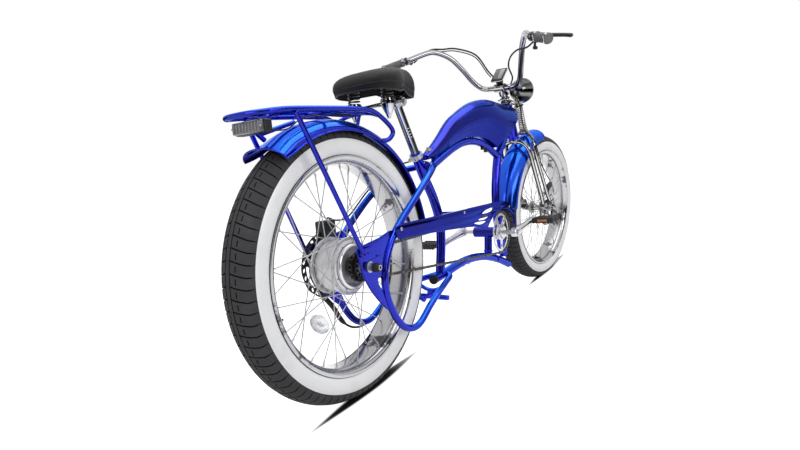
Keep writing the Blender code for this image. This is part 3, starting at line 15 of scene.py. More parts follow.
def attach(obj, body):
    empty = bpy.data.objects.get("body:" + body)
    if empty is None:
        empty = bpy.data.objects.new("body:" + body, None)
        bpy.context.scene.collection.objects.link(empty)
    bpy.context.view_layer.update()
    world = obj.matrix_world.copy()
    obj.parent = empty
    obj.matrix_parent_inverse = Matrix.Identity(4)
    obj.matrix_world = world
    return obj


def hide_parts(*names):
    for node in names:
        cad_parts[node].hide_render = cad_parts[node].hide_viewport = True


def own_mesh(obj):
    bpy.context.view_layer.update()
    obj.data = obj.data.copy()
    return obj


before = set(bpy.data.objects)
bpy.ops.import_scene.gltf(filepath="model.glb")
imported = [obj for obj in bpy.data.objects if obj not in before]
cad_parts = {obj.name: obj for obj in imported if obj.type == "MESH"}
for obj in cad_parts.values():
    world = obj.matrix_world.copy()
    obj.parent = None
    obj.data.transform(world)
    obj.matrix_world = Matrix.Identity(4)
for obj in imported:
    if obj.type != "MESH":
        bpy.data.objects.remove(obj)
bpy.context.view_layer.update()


def vec(x, y, z):
    """A point given in tenths of a millimetre."""
    return Vector((x / 10000, y / 10000, z / 10000))


def tenths(rows):
    """A table of points or profile steps given in tenths of a millimetre."""
    return [tuple(v / 10000 for v in row) for row in rows]


def aside(y):
    """A step across the bicycle, to its left."""
    return Vector((0, y, 0))


def polar(centre, r, a, y):
    """A point at radius r and angle a about a crosswise axis, y to the left."""
    return centre + Vector((r * cos(a), y, r * sin(a)))


def sleeve(bore, outer, low, high, inward, length):
    """A ring's profile with bevelled outer rims, in tenths of a millimetre."""
    return tenths([(bore, low), (outer - inward, low), (outer, low + length), (outer, high - length),
        (outer - inward, high), (bore, high)])


def mirrored(half):
    """A path to the middle plane, carried on to the other side."""
    return half + [(x, -y, z) for x, y, z in reversed(half[:-1])]


def hand(side):
    return "left" if side > 0 else "right"


# Places shared with the solids
SHIFT = vec(-7735, -220, -15)
HEAD_ANGLE = radians(64.0)
STEM_AT = vec(11800, 0, 9240)
STEER_AT_REST = radians(-6.45)
STEER_AXIS = Vector((-cos(HEAD_ANGLE), 0, sin(HEAD_ANGLE)))
AHEAD = Vector((sin(HEAD_ANGLE), 0, cos(HEAD_ANGLE)))
ON_FRAME = Matrix.Translation(SHIFT)
ON_FORK = Matrix.Translation(SHIFT + STEM_AT) @ Matrix.Rotation(STEER_AT_REST, 4,
    STEER_AXIS) @ Matrix.Translation(-STEM_AT)
FRONT_BODIES = ("steering_body", "rocker_body", "front_legs_body", "front_wheel", "right_lever_body",
    "left_lever_body", "throttle_body")
WHEEL_R = 0.365
REAR = Vector((0, 0, WHEEL_R))
FRONT = Vector((1.5475, 0, WHEEL_R))
CRANK_AT = vec(9430, 0, 3210)
CHAIN_Y = -0.058
TAU = 2 * pi


# Shader maths: a Value is one changing number or colour in a material
class Value:
    """A socket that can be added, multiplied and compared; each step adds a node."""

    def __init__(self, paint, socket):
        self.paint = paint
        self.socket = socket

    def maths(self, operation, *values):
        return self.paint.node("ShaderNodeMath", {"operation": operation}, values)

    def __add__(self, other):
        return self.maths("ADD", self, other)

    def __radd__(self, other):
        return self.maths("ADD", other, self)

    def __sub__(self, other):
        return self.maths("SUBTRACT", self, other)

    def __rsub__(self, other):
        return self.maths("SUBTRACT", other, self)

    def __mul__(self, other):
        return self.maths("MULTIPLY", self, other)

    def __rmul__(self, other):
        return self.maths("MULTIPLY", other, self)

    def __truediv__(self, other):
        return self.maths("DIVIDE", self, other)

    def __pow__(self, other):
        return self.maths("POWER", self, other)

    def step(self, low, high):
        """0 below low, 1 above high, smooth between."""
        return self.paint.node("ShaderNodeMapRange", {"interpolation_type": "SMOOTHSTEP"},
            {"Value": self, "From Min": low, "From Max": high})


class Paint:
    """One finish: a Principled shader whose fixed values are set on its own sockets."""

    def __init__(self, name, slot, **fixed):
        self.material = bpy.data.materials.new(name)
        self.material.use_nodes = True
        self.tree = self.material.node_tree
        self.shader = self.tree.nodes["Principled BSDF"]
        self.material["slot"] = slot
        self.fix(**fixed)
        self.where = self.node("ShaderNodeTexCoord", {}, {}, "Object")

    def fix(self, **fixed):
        for key, value in fixed.items():
            socket = self.shader.inputs[key.replace("_", " ").title().replace("Ior", "IOR")]
            socket.default_value = (*value, 1.0) if isinstance(value, tuple) else value

    def node(self, kind, settings, values, out=0):
        """Adds a node, sets it up, and gives back one of its outputs."""
        made = self.tree.nodes.new(kind)
        for key, value in settings.items():
            if key == "ramp":
                while len(made.color_ramp.elements) < len(value):
                    made.color_ramp.elements.new(0.5)
                for element, (place, tone) in zip(made.color_ramp.elements, value):
                    element.position = place
                    element.color = (*tone, 1.0) if isinstance(tone, tuple) else (tone, tone, tone, 1.0)
            else:
                setattr(made, key, value)
        pairs = values.items() if isinstance(values, dict) else enumerate(values)
        for key, value in pairs:
            socket = made.inputs[key]
            if isinstance(value, Value):
                self.tree.links.new(value.socket, socket)
            elif isinstance(value, tuple) and len(value) == 3 and (socket.type == "RGBA"):
                socket.default_value = (*value, 1.0)
            else:
                socket.default_value = value
        return Value(self, made.outputs[out])

    def clouds(self, scale, detail=3.0, rough=0.5, stretch=None):
        """Soft noise from 0 to 1 over the piece."""
        at = self.where
        if stretch:
            at = self.node("ShaderNodeVectorMath", {"operation": "MULTIPLY"}, (at, stretch))
        return self.node("ShaderNodeTexNoise", {}, {"Vector": at, "Scale": scale, "Detail": detail,
            "Roughness": rough}, "Fac")

    def grain(self, scale, out="Distance"):
        """Cells, for flakes and pebbled skins."""
        return self.node("ShaderNodeTexVoronoi", {}, {"Vector": self.where, "Scale": scale}, out)

    def mix(self, share, first, second):
        """A colour between two, by share."""
        return self.node("ShaderNodeMix", {"data_type": "RGBA"}, {0: share, 6: first, 7: second}, 2)

    def feed(self, socket, value):
        self.tree.links.new(value.socket, self.shader.inputs[socket])
        return self

    def bump(self, height, strength, distance):
        bumped = self.node("ShaderNodeBump", {}, {"Height": height, "Strength": strength, "Distance": distance},
            "Normal")
        return self.feed("Normal", bumped)


def candy_paint(name="candy_blue", body=(0.02, 0.02, 0.5), painted_top_light=(0.004, 0.15, 0.92), coat_share=0.22):
    """Candy lacquer with painted light and shade: its colour turns azure on faces that look up and deep navy on
    faces that look down, over a slow drift in tone and a fine flake.
    """
    paint = Paint(name, "candy_blue", metallic=0.9, roughness=0.16, coat_weight=coat_share, coat_roughness=0.02,
        specular_tint=(0.35, 0.5, 1.0))
    facing = paint.node("ShaderNodeTexCoord", {}, {}, "Normal")
    rise = paint.node("ShaderNodeSeparateXYZ", {}, (facing,), 2)
    sparkle = paint.node("ShaderNodeSeparateColor", {}, (paint.grain(1400.0, "Color"),), 0)
    drift = paint.clouds(3.0).step(0.3, 0.7)
    deep = paint.mix(drift, body, tuple(0.6 * v for v in body))
    # Painted light on faces that look up, painted shade (the navy below) on faces that look down
    top = paint.mix(rise.step(0.3, 1.0), deep, painted_top_light)
    below = paint.mix((0 - rise).step(0.0, 0.9), top, (0.006, 0.005, 0.17))
    paint.feed("Base Color", paint.mix(sparkle.step(0.86, 1.0) * 0.25, below, (0.05, 0.22, 1.0)))
    paint.feed("Roughness", 0.13 + paint.clouds(40.0) * 0.06)
    return paint


def chrome_plate(name="chrome_plate", bright=0.6, dark=0.035):
    """Mirror plate with painted reflections: dark and bright bands set in its colour by which way each face
    looks, as a studio leaves along bars and edges.
    """
    paint = Paint(name, "chrome", metallic=1.0, roughness=0.06)
    facing = paint.node("ShaderNodeTexCoord", {}, {}, "Normal")
    lean = paint.node("ShaderNodeVectorMath", {"operation": "DOT_PRODUCT"}, (facing, (-0.42, -0.5, 0.76)),
        "Value")
    mid = (bright + dark) / 2
    # Painted reflection bands, chosen by the facing of each face
    tone = paint.node("ShaderNodeValToRGB", {"ramp": [(0, mid), (0.2, 0.9 * bright), (0.3, mid), (0.36, dark),
        (0.48, dark), (0.54, 0.7 * bright), (0.63, bright), (0.7, dark), (0.77, dark), (0.83, 0.9 * bright),
        (0.92, 0.3 * bright), (1.0, 0.2 * bright)]}, {"Fac": lean * 0.5 + 0.5})
    smear = paint.clouds(18.0, 4.0)
    paint.feed("Base Color", paint.mix(smear.step(0.5, 0.9) * 0.4, tone, (mid, mid, mid)))
    paint.feed("Roughness", 0.04 + smear.step(0.4, 0.9) * 0.08)
    return paint


def rim_chrome():
    """Plated rim with painted reflections: soft dark patches set in its colour for what it mirrors."""
    paint = Paint("rim_chrome", "chrome", metallic=1.0, roughness=0.16)
    # Painted reflection: dark patches over the grey plate
    painted_dark_patch = paint.clouds(11.0, 5.0, 0.6)
    grey = paint.mix(paint.clouds(5.0), (0.5, 0.5, 0.51), (0.33, 0.33, 0.34))
    paint.feed("Base Color", paint.mix(painted_dark_patch.step(0.57, 0.62), grey, (0.07, 0.07, 0.08)))
    paint.feed("Roughness", 0.15 + paint.clouds(40.0) * 0.1)
    return paint


def finish(name, slot, first, second, scale, gloss=None, gather=None, detail=3.0, coarse=0.5, stretch=None,
        grain=None, **fixed):
    """A surface that drifts between two tones, with uneven gloss and perhaps a fine grain.

    gloss is the least roughness, its swing and its scale. Without a scale it follows the tones.
    """
    paint = Paint(name, slot, **fixed)
    drift = paint.clouds(scale, detail, coarse)
    paint.feed("Base Color", paint.mix(drift.step(*gather) if gather else drift, first, second))
    if gloss:
        least, swing, *size = gloss
        paint.feed("Roughness", least + (paint.clouds(*size, stretch=stretch) if size else drift) * swing)
    if grain:
        paint.bump(paint.clouds(grain[0]), *grain[1:])
    return paint


def moulded_plastic():
    paint = finish("moulded_plastic", "black_plastic", (0.008, 0.008, 0.009), (0.018, 0.018, 0.019), 20.0,
        (0.42, 0.16, 150.0), roughness=0.5, specular_ior_level=0.3)
    return paint.bump(paint.grain(1900.0), 0.12, 0.0003)


def seat_vinyl():
    paint = Paint("grained_vinyl", "black_vinyl", roughness=0.42, specular_ior_level=0.18)
    pebble = paint.grain(620.0)
    worn = paint.clouds(9.0, 4.0)
    paint.feed("Base Color", paint.mix(worn.step(0.4, 0.8), (0.004, 0.004, 0.005), (0.01, 0.01, 0.011)))
    paint.feed("Roughness", 0.36 + pebble * 0.35)
    return paint.bump(pebble, 0.3, 0.0005)


def tinted_plastic(name, slot, first, second, rough):
    return finish(name, slot, first, second, 45.0, (rough, 0.12, 120.0), roughness=rough, coat_weight=0.6)


def clear_plastic():
    paint = Paint("clear_reflector", "grey_lens", roughness=0.12, transmission_weight=0.6, ior=1.45)
    cells = paint.grain(420.0)
    paint.feed("Base Color", paint.mix(cells, (0.86, 0.88, 0.9), (0.98, 0.98, 1.0)))
    return paint.bump(cells, 0.5, 0.0008)


def lamp_glass():
    paint = Paint("lamp_glass", "chrome", roughness=0.04, transmission_weight=0.85, ior=1.45)
    paint.feed("Base Color", paint.mix(paint.clouds(60.0), (0.92, 0.94, 0.96), (1.0, 1.0, 1.0)))
    return paint


CANDY = candy_paint()
DEEP = candy_paint("deep_candy_blue", (0.014, 0.009, 0.21), (0.055, 0.055, 0.5), 0.08)
# A lighter azure copy of the candy lacquer: painted light on the front mudguard
LIT_AZURE = candy_paint("lit_azure_candy", (0.012, 0.075, 0.62), (0.004, 0.15, 0.92))
CHROME = chrome_plate()
# A darker copy of the chrome for the headlamp: its painted reflections run darker
DARK_CHROME = chrome_plate("dark_chrome", 0.2, 0.008)
RIM_CHROME = rim_chrome()
SPOKE = finish("spoke_wire", "steel", (0.56, 0.56, 0.57), (0.42, 0.42, 0.43), 50.0, (0.3, 0.12, 120.0),
    metallic=0.3, roughness=0.45)
CAST = finish("cast_alloy", "silver_alloy", (0.56, 0.56, 0.57), (0.64, 0.64, 0.65), 30.0, (0.4, 0.12, 90.0),
    grain=(900.0, 0.12, 0.0004), metallic=0.7, roughness=0.42)
TURNED = finish("turned_alloy", "silver_alloy", (0.5, 0.5, 0.52), (0.62, 0.62, 0.63), 25.0, (0.16, 0.16, 300.0),
    stretch=(1.0, 12.0, 1.0), metallic=0.95, roughness=0.22)
STEEL = finish("plated_steel", "steel", (0.34, 0.34, 0.35), (0.5, 0.5, 0.5), 60.0, (0.2, 0.22), detail=5.0,
    metallic=0.95, roughness=0.28)
CHAIN = finish("oiled_steel", "steel", (0.11, 0.1, 0.095), (0.03, 0.027, 0.025), 70.0, (0.25, 0.3),
    (0.35, 0.75), 4.0, metallic=0.9, roughness=0.35)
TYRE = finish("tyre_rubber", "tyre", (0.048, 0.048, 0.05), (0.066, 0.066, 0.068), 22.0, (0.62, 0.2, 120.0),
    (0.45, 0.85), 6.0, 0.6, grain=(1500.0, 0.18, 0.0004), roughness=0.72, specular_ior_level=0.15)
# Near-black rubber for the tread's grooves and slits: painted shade in the recesses
GROOVE_SHADE = finish("groove_shade_rubber", "tyre", (0.003, 0.003, 0.003), (0.008, 0.008, 0.008), 60.0, roughness=0.9,
    specular_ior_level=0.05)
WHITE = finish("white_wall_rubber", "tyre", (0.88, 0.88, 0.88), (0.74, 0.74, 0.73), 14.0, (0.36, 0.16, 60.0),
    (0.45, 0.95), 6.0, 0.6, grain=(1200.0, 0.1, 0.0003), roughness=0.45)
RUBBER = finish("soft_rubber", "rubber", (0.008, 0.008, 0.009), (0.022, 0.022, 0.023), 35.0, (0.5, 0.2, 200.0),
    grain=(1400.0, 0.15, 0.0003), roughness=0.62, specular_ior_level=0.25)
BLACK = finish("black_enamel", "black_alloy", (0.006, 0.006, 0.007), (0.02, 0.02, 0.021), 40.0,
    (0.26, 0.16, 90.0), roughness=0.3, specular_ior_level=0.35)
PLASTIC = moulded_plastic()
VINYL = seat_vinyl()
THREAD = finish("seam_thread", "black_vinyl", (0.02, 0.02, 0.02), (0.06, 0.06, 0.06), 400.0, roughness=0.7)
AMBER = tinted_plastic("amber_reflector", "black_plastic", (0.45, 0.11, 0.006), (0.65, 0.19, 0.015), 0.2)
SMOKE = tinted_plastic("smoked_lens", "grey_lens", (0.06, 0.06, 0.062), (0.13, 0.13, 0.135), 0.16)
RIB_GREY = tinted_plastic("grey_rib", "grey_lens", (0.2, 0.2, 0.21), (0.3, 0.3, 0.31), 0.25)
SCREEN = tinted_plastic("display_glass", "black_plastic", (0.03, 0.04, 0.05), (0.06, 0.07, 0.08), 0.06)
CELLS = tinted_plastic("battery_wrap", "battery_wrap", (0.04, 0.1, 0.26), (0.06, 0.14, 0.34), 0.4)
CLEAR = clear_plastic()
GLASS = lamp_glass()
GRIP = finish("grip_rubber", "rubber", (0.1, 0.1, 0.105), (0.17, 0.17, 0.175), 45.0, (0.5, 0.2, 160.0),
    grain=(1200.0, 0.15, 0.0003), roughness=0.6)


# Mesh tools
def linked(name, data):
    ob = bpy.data.objects.new(name, data)
    bpy.context.scene.collection.objects.link(ob)
    return ob


def mesh_object(name, verts, faces):
    mesh = bpy.data.meshes.new(name)
    mesh.from_pydata([tuple(v) for v in verts], [], faces)
    mesh.validate()
    return linked(name, mesh)


def coat(ob, *paints):
    """Gives a mesh its paints; faces keep their slot numbers."""
    ob.data.materials.clear()
    for paint in paints:
        ob.data.materials.append(paint.material)
    return ob


def outward(ob, weld=1e-05):
    bm = bmesh.new()
    bm.from_mesh(ob.data)
    bmesh.ops.remove_doubles(bm, verts=bm.verts, dist=weld)
    bmesh.ops.recalc_face_normals(bm, faces=bm.faces)
    bm.to_mesh(ob.data)
    bm.free()
    return ob


def smooth(points, per, closed=False):
    """Points along a smooth curve through the given points."""
    pts = [Vector(p) for p in points]
    n = len(pts)
    out = []
    for i in range(n if closed else n - 1):
        p1 = pts[i]
        p2 = pts[(i + 1) % n]
        p0 = pts[i - 1] if closed or i > 0 else p1 * 2 - p2
        p3 = pts[(i + 2) % n] if closed or i + 2 < n else p2 * 2 - p1
        for k in range(per):
            t = k / per
            out.append(0.5 * (2 * p1 + (p2 - p0) * t + (2 * p0 - 5 * p1 + 4 * p2 - p3) * t ** 2 + (3 * p1 - p0
                - 3 * p2 + p3) * t ** 3))
    if not closed:
        out.append(pts[-1])
    return out


def quads(rows, columns, around=True, along=True):
    """Faces of a grid of points, closed round its columns and along its rows where asked."""
    return [(i * columns + j, i * columns + (j + 1) % columns, (i + 1) % rows * columns + (j + 1) % columns,
        (i + 1) % rows * columns + j) for i in range(rows if along else rows - 1) for j in range(columns
        if around else columns - 1)]


def frames_along(points, closed):
    """Tangent and two side directions at each point, without twist."""
    n = len(points)
    tangents = []
    for i in range(n):
        a = points[i - 1] if closed or i > 0 else points[0]
        b = points[(i + 1) % n] if closed or i < n - 1 else points[-1]
        tangents.append((b - a).normalized())
    side = tangents[0].orthogonal().normalized()
    sides = [side]
    for i in range(1, n):
        side = side - tangents[i] * side.dot(tangents[i])
        side.normalize()
        sides.append(side)
    if closed:
        last = sides[-1] - tangents[0] * sides[-1].dot(tangents[0])
        last.normalize()
        turn = atan2(sides[0].cross(last).dot(tangents[0]), sides[0].dot(last))
        sides = [Matrix.Rotation(-turn * i / n, 3, tangents[i]) @ s for i, s in enumerate(sides)]
    return [(t, s, t.cross(s)) for t, s in zip(tangents, sides)]


def pipe(points, radius, paint, sides, closed=False, scales=None, round_end=0.15):
    """A round bar along a path, with softened ends."""
    pts = [Vector(p) for p in points]
    grow = list(scales) if scales else [1.0] * len(pts)
    if not closed and round_end:
        step = radius * round_end
        head = (pts[0] - pts[1]).normalized()
        tail = (pts[-1] - pts[-2]).normalized()
        first, last = pts[0], pts[-1]
        pts = [first, first - head * step] + pts[1:-1] + [last - tail * step, last]
        grow = [grow[0] * (1 - round_end), grow[0]] + grow[1:-1] + [grow[-1], grow[-1] * (1 - round_end)]
    verts = []
    for p, size, (_, u, v) in zip(pts, grow, frames_along(pts, closed)):
        for j in range(sides):
            a = TAU * j / sides
            verts.append(p + (u * cos(a) + v * sin(a)) * radius * size)
    count = len(pts)
    faces = quads(count, sides, along=closed)
    if not closed:
        faces.append(tuple(reversed(range(sides))))
        faces.append(tuple((count - 1) * sides + j for j in range(sides)))
    return coat(mesh_object("pipe", verts, faces), paint)


def lathe(profile, centre, axis, paint, steps, closed=False):
    """A profile of (radius, height) pairs turned about an axis through centre."""
    turn = Matrix.Translation(centre) @ Vector(axis).normalized().to_track_quat("Z", "X").to_matrix().to_4x4()
    verts = []
    for i in range(steps):
        a = TAU * i / steps
        for r, h in profile:
            verts.append(turn @ Vector((r * cos(a), r * sin(a), h)))
    faces = [(a, c, d, b) for a, b, d, c in quads(steps, len(profile), closed)]
    return outward(coat(mesh_object("turned", verts, faces), paint))


def collar(profile, centre, axis, paint, steps):
    """A closed profile turned about an axis."""
    return lathe(profile, centre, axis, paint, steps, True)


def rod(start, end, radius, paint, sides=28, soft=0.12):
    """A straight bar with softened rims."""
    a, b = Vector(start), Vector(end)
    length = (b - a).length
    s = min(radius * soft, length * 0.3)
    profile = [(0, 0), (radius - s, 0), (radius, s), (radius, length - s), (radius - s, length), (0, length)]
    return lathe(profile, a, b - a, paint, sides)


def block(centre, size, paint, turn=None, *, soft):
    """A box with rounded edges."""
    bm = bmesh.new()
    bmesh.ops.create_cube(bm, size=1.0)
    bmesh.ops.scale(bm, vec=size, verts=bm.verts)
    bmesh.ops.bevel(bm, geom=list(bm.edges), offset=soft, segments=3, affect="EDGES", profile=0.5)
    matrix = Matrix.Translation(centre) @ (turn.to_4x4() if turn else Matrix.Identity(4))
    bmesh.ops.transform(bm, matrix=matrix, verts=bm.verts)
    mesh = bpy.data.meshes.new("block")
    bm.to_mesh(mesh)
    bm.free()
    ob = linked("block", mesh)
    return coat(ob, paint)


def baked(ob):
    """The object's final shape as a plain mesh object."""
    bpy.context.view_layer.update()
    depsgraph = bpy.context.evaluated_depsgraph_get()
    mesh = bpy.data.meshes.new_from_object(ob.evaluated_get(depsgraph))
    mesh.transform(ob.matrix_world)
    new = bpy.data.objects.new(ob.name, mesh)
    bpy.data.objects.remove(ob, do_unlink=True)
    bpy.context.scene.collection.objects.link(new)
    return new


def slab(outline, y0, y1, paint, holes=(), soft=0.0004):
    """A flat outline in the XZ plane, from y0 to y1, with holes and softened edges."""
    curve = bpy.data.curves.new("slab", "CURVE")
    curve.dimensions = "2D"
    curve.fill_mode = "BOTH"
    curve.extrude = abs(y1 - y0) / 2 - soft
    curve.bevel_depth = soft
    curve.bevel_resolution = 1
    for ring in (outline, *holes):
        spline = curve.splines.new("POLY")
        spline.points.add(len(ring) - 1)
        for point, p in zip(spline.points, ring):
            point.co = (p[0], p[1], 0, 1.0)
        spline.use_cyclic_u = True
    ob = linked("slab", curve)
    ob.matrix_world = Matrix.Translation((0, (y0 + y1) / 2, 0)) @ Matrix.Rotation(pi / 2, 4, "X")
    return coat(outward(baked(ob)), paint)


def flat_curve(points, per, closed=True):
    """Smooth (x, z) outline through the given (x, z) points."""
    return [(p.x, p.y) for p in smooth([(x, z, 0) for x, z in points], per, closed)]


def circle(cx, cz, r, n=32, start=0.0, end=TAU):
    full = abs(end - start - TAU) < 1e-06
    return [(cx + r * cos(start + (end - start) * i / n), cz + r * sin(start + (end - start) * i / n))
        for i in range(n if full else n + 1)]


def together(*obs):
    """Several meshes as one object, each keeping its paint."""
    paints = []
    bm = bmesh.new()
    for ob in obs:
        start = len(bm.faces)
        bm.from_mesh(ob.data)
        bm.faces.ensure_lookup_table()
        slots = []
        for mat in ob.data.materials:
            if mat not in paints:
                paints.append(mat)
            slots.append(paints.index(mat))
        for face in bm.faces[start:]:
            face.material_index = slots[min(face.material_index, len(slots) - 1)]
    mesh = bpy.data.meshes.new("together")
    bm.to_mesh(mesh)
    bm.free()
    for mat in paints:
        mesh.materials.append(mat)
    for ob in obs:
        bpy.data.objects.remove(ob, do_unlink=True)
    return linked("together", mesh)


def cut(ob, *cutters):
    for cutter in cutters:
        mod = ob.modifiers.new("cut", "BOOLEAN")
        mod.operation = "DIFFERENCE"
        mod.solver = "EXACT"
        mod.object = cutter
        ob = baked(ob)
        bpy.data.objects.remove(cutter, do_unlink=True)
    return ob


def ringed(first, centre, count):
    """One mesh made of a shape repeated round a crosswise axis."""
    copies = []
    for i in range(1, count):
        mesh = first.data.copy()
        turn = Matrix.Rotation(TAU * i / count, 4, aside(1))
        mesh.transform(Matrix.Translation(centre) @ turn @ Matrix.Translation(-centre))
        copies.append(linked(first.name, mesh))
    return together(first, *copies)


def show(ob, name, body, *nodes, sharp=35.0):
    """Puts a finished piece in the frame, on its body, in place of the named solids."""
    ob.name = name
    ob.data.name = name
    ob.data.transform(ON_FORK if body in FRONT_BODIES else ON_FRAME)
    ob.data.shade_smooth()
    ob.data.set_sharp_from_angle(angle=radians(sharp))
    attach(ob, body)
    if nodes:
        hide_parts(*nodes)
    return ob


def sided(v, side):
    return Vector((v[0], v[1] * side, v[2]))


def steer_point(z):
    """The point at height z on the steering axis."""
    return Vector((STEM_AT.x + (STEM_AT.z - z) / tan(HEAD_ANGLE), 0, z))


def along(point, distance):
    return Vector(point) + STEER_AXIS * distance


def bolt_head(at, axis, radius, height):
    """A round cap screw with a hollow in its head."""
    hollow = radius * 0.5
    profile = [(0, 0), (radius, 0), (radius, height * 0.75), (radius * 0.85, height), (hollow, height),
        (hollow, height * 0.45), (0, height * 0.45)]
    return lathe(profile, at, axis, STEEL, 20)


def nut(at, axis, radius, height, paint=STEEL):
    """A hexagon nut with a chamfered face."""
    profile = [(0, 0), (radius, 0), (radius, height * 0.85), (radius * 0.9, height), (0, height)]
    return lathe(profile, at, axis, paint, 6)


# Wheels
def tyre(centre, prefix, body):
    """Balloon tyre: fine grooves cut in the tread, a white band on each wall."""
    pitches = 84
    lug = [(0, 0), (0.03, 1.0), (0.24, 1.0), (0.26, 0.5), (0.72, 0.5), (0.74, 1.0), (0.91, 1.0), (0.94, 0)]
    half_across = [(0, 1.0), (0.14, 1.0), (0.155, 0.2), (0.185, 0.2), (0.2, 1.0), (0.5, 1.0), (0.515, -1.0),
        (0.545, -1.0), (0.56, 1.0), (0.8, 1.0), (0.9, 1.0), (1.0, 1.0)]
    across = [(-s, high) for s, high in reversed(half_across)] + half_across[1:]
    wall = tenths([(3462, 423), (3400, 450), (3325, 476), (3315, 482), (3220, 500), (3120, 506), (3020, 495),
        (2950, 468), (2915, 440), (2900, 426), (2803, 424), (3000, 400), (3200, 420), (3450, 340), (3580, 150)])
    verts, dark = [], []
    row = len(across) + 2 * len(wall)
    for i in range(pitches):
        for u, high in lug:
            for s, ridge in across:
                crown = WHEEL_R - 0.015 * abs(s) ** 2.4
                cut_across = high < 0.1 and abs(s) >= 0.2
                notch = high < 0.1 and abs(s) < 0.13 and i % 2
                dash = ridge < 0 and high == 0.5
                deep = 0.0024 if cut_across or ridge == 0.2 else 0.0016 if dash or notch else 0.0
                dark.append(deep > 0.0)
                r = (crown if abs(s) < 1.0 else 0.35) - deep
                shift = 0.42 * max(0.0, abs(s) - 0.2)
                a = TAU * (i + u + shift) / pitches
                verts.append(polar(centre, r, a, 0.04 * s))
            a = TAU * (i + u + 0.33) / pitches
            for side, ring in ((1, wall), (-1, reversed(wall))):
                for r, y in ring:
                    slit = 0.0016 if high < 0.1 and 0.333 < r and (y > 0.04) else 0.0
                    dark.append(slit > 0.0)
                    verts.append(polar(centre, r, a, (y - slit) * side))
    faces = quads(pitches * len(lug), row)
    ob = coat(mesh_object(prefix + "_tyre", verts, faces), TYRE, WHITE, GROOVE_SHADE)
    first = len(across)
    white = set(range(first + 3, first + 8)) | set(range(first + 2 * len(wall) - 9, first + 2 * len(wall) - 4))
    # Sunk faces take the near-black groove rubber as painted shade
    for index, poly in enumerate(ob.data.polygons):
        sunk = sum(dark[v] for v in poly.vertices)
        poly.material_index = 1 if index % row in white else 2 if sunk > 1 else 0
    outward(ob, weld=0.0)
    show(ob, prefix + "_tyre_with_tread", body, prefix + "_tyre", sharp=28.0)


def rim(centre, prefix, body):
    """Wide hollow rim with rolled lips, spoke nipples and a valve."""
    half = tenths([(2880, 470), (2897, 466), (2900, 452), (2888, 438), (2850, 432), (2797, 430), (2790, 400),
        (2745, 330), (2745, 0)])
    under = tenths([(2672, 0), (2672, 100), (2680, 240), (2700, 330), (2745, 405), (2800, 450), (2850, 470)])
    ring = half[:-1] + [(r, -y) for r, y in reversed(half[:-1])] + [(r, -y) for r,
        y in reversed(under)] + under[1:]
    ob = collar(ring, centre, (0, 1, 0), RIM_CHROME, 144)
    extras = [ob]
    for i in range(36):
        side = -1 if i < 18 else 1
        turn = 1 if i % 2 else -1
        a = (0.0 if side < 0 else pi / 9) + TAU * (i // 2 % 9 + 0.25 * turn) / 9
        out = Vector((cos(a), side * -0.05, sin(a)))
        foot = polar(centre, 0.2685, a, side * (0.022 + 0.002 * turn))
        extras.append(lathe(tenths([(0, 0), (19, 0), (22, 40), (22, 105), (34, 125), (0, 135)]),
            foot - out * 0.012, out, SPOKE, 10))
    valve = radians(200)
    out = Vector((cos(valve), 0, sin(valve)))
    extras.append(lathe(tenths([(0, 0), (30, 5), (36, 60), (30, 80), (30, 220), (50, 260), (0, 270)]),
        centre + out * 0.242, out, RUBBER, 14))
    show(together(*extras), prefix + "_rim_with_nipples", body, prefix + "_rim")


def spokes(centre, prefix, side, hub_r, hub_y, body, phase=0.0):
    bars = []
    for i in range(9):
        for turn in (-1, 1):
            a = phase + TAU * (i + 0.25 * turn) / 9
            b = a - turn * radians(62.0)
            start = polar(centre, hub_r, b, side * (hub_y + 0.0036 * turn))
            stop = polar(centre, 0.26, a, side * (0.022 + 0.002 * turn))
            head = polar(centre, hub_r, b, side * (hub_y - 0.004 * turn))
            bars.append(pipe([head, start + (stop - start) * 0.002, start.lerp(stop, 0.02),
                start.lerp(stop, 0.5), stop], 0.0015, SPOKE, 8))
            bars.append(rod(head, head - aside(side * turn * 0.0016), 0.0026, SPOKE, 10))
    word = hand(side)
    flange = collar([(hub_r + 0.0052, 0.0018), (hub_r + 0.0042, 0.0026), (hub_r - 0.004, 0.0026),
        (hub_r - 0.006, 0.004), (hub_r - 0.0075, 0.004), (hub_r - 0.0075, -0.004), (hub_r - 0.006, -0.004),
        (hub_r - 0.004, -0.0026), (hub_r + 0.0042, -0.0026), (hub_r + 0.0052, -0.0018)],
        centre + aside(side * hub_y), (0, 1, 0), CAST, 96)
    show(together(flange, *bars), f"{prefix}_spokes_and_flange_{word}", body, f"{prefix}_spokes_{word}")


def rotor(centre, y, name, body):
    """Slotted, drilled brake disc on curved arms, with its bolts."""
    x, z = centre.x, centre.z
    wave = [(x + r * cos(a), z + r * sin(a)) for a, r in [(TAU * i / 120,
        0.0895 + 0.0008 * cos(TAU * i / 12)) for i in range(120)]]
    holes = []
    for i in range(24):
        oval = [(0.0812 + 0.0044 * sin(t), TAU * i / 24 + 0.07 * cos(t) + 0.03 * sin(t)) for t in (TAU * k / 14
            for k in range(14))]
        holes.append([(x + r * cos(a), z + r * sin(a)) for r, a in oval])
    for i in range(5):
        a = TAU * i / 5
        edge = []
        for k in range(9):
            edge.append((0.0735, a + radians(30 + 56 * k / 8)))
        for k in range(9):
            edge.append((0.035, a + radians(60 - 46 * k / 8)))
        holes.append([(x + r * cos(t), z + r * sin(t)) for r, t in edge])
    holes.append(circle(x, z, 0.0216, 40))
    disc = slab(wave, y - 0.001, y + 0.001, BLACK, holes, soft=0.0002)
    out = 1 if y > 0 else -1
    bolts = [bolt_head((x + 0.0265 * cos(a), y + 0.001 * out, z + 0.0265 * sin(a)), (0, out, 0), 0.0042,
        0.0028) for a in [TAU * i / 6 for i in range(6)]]
    show(together(disc, *bolts), name + "_slotted", body, name)


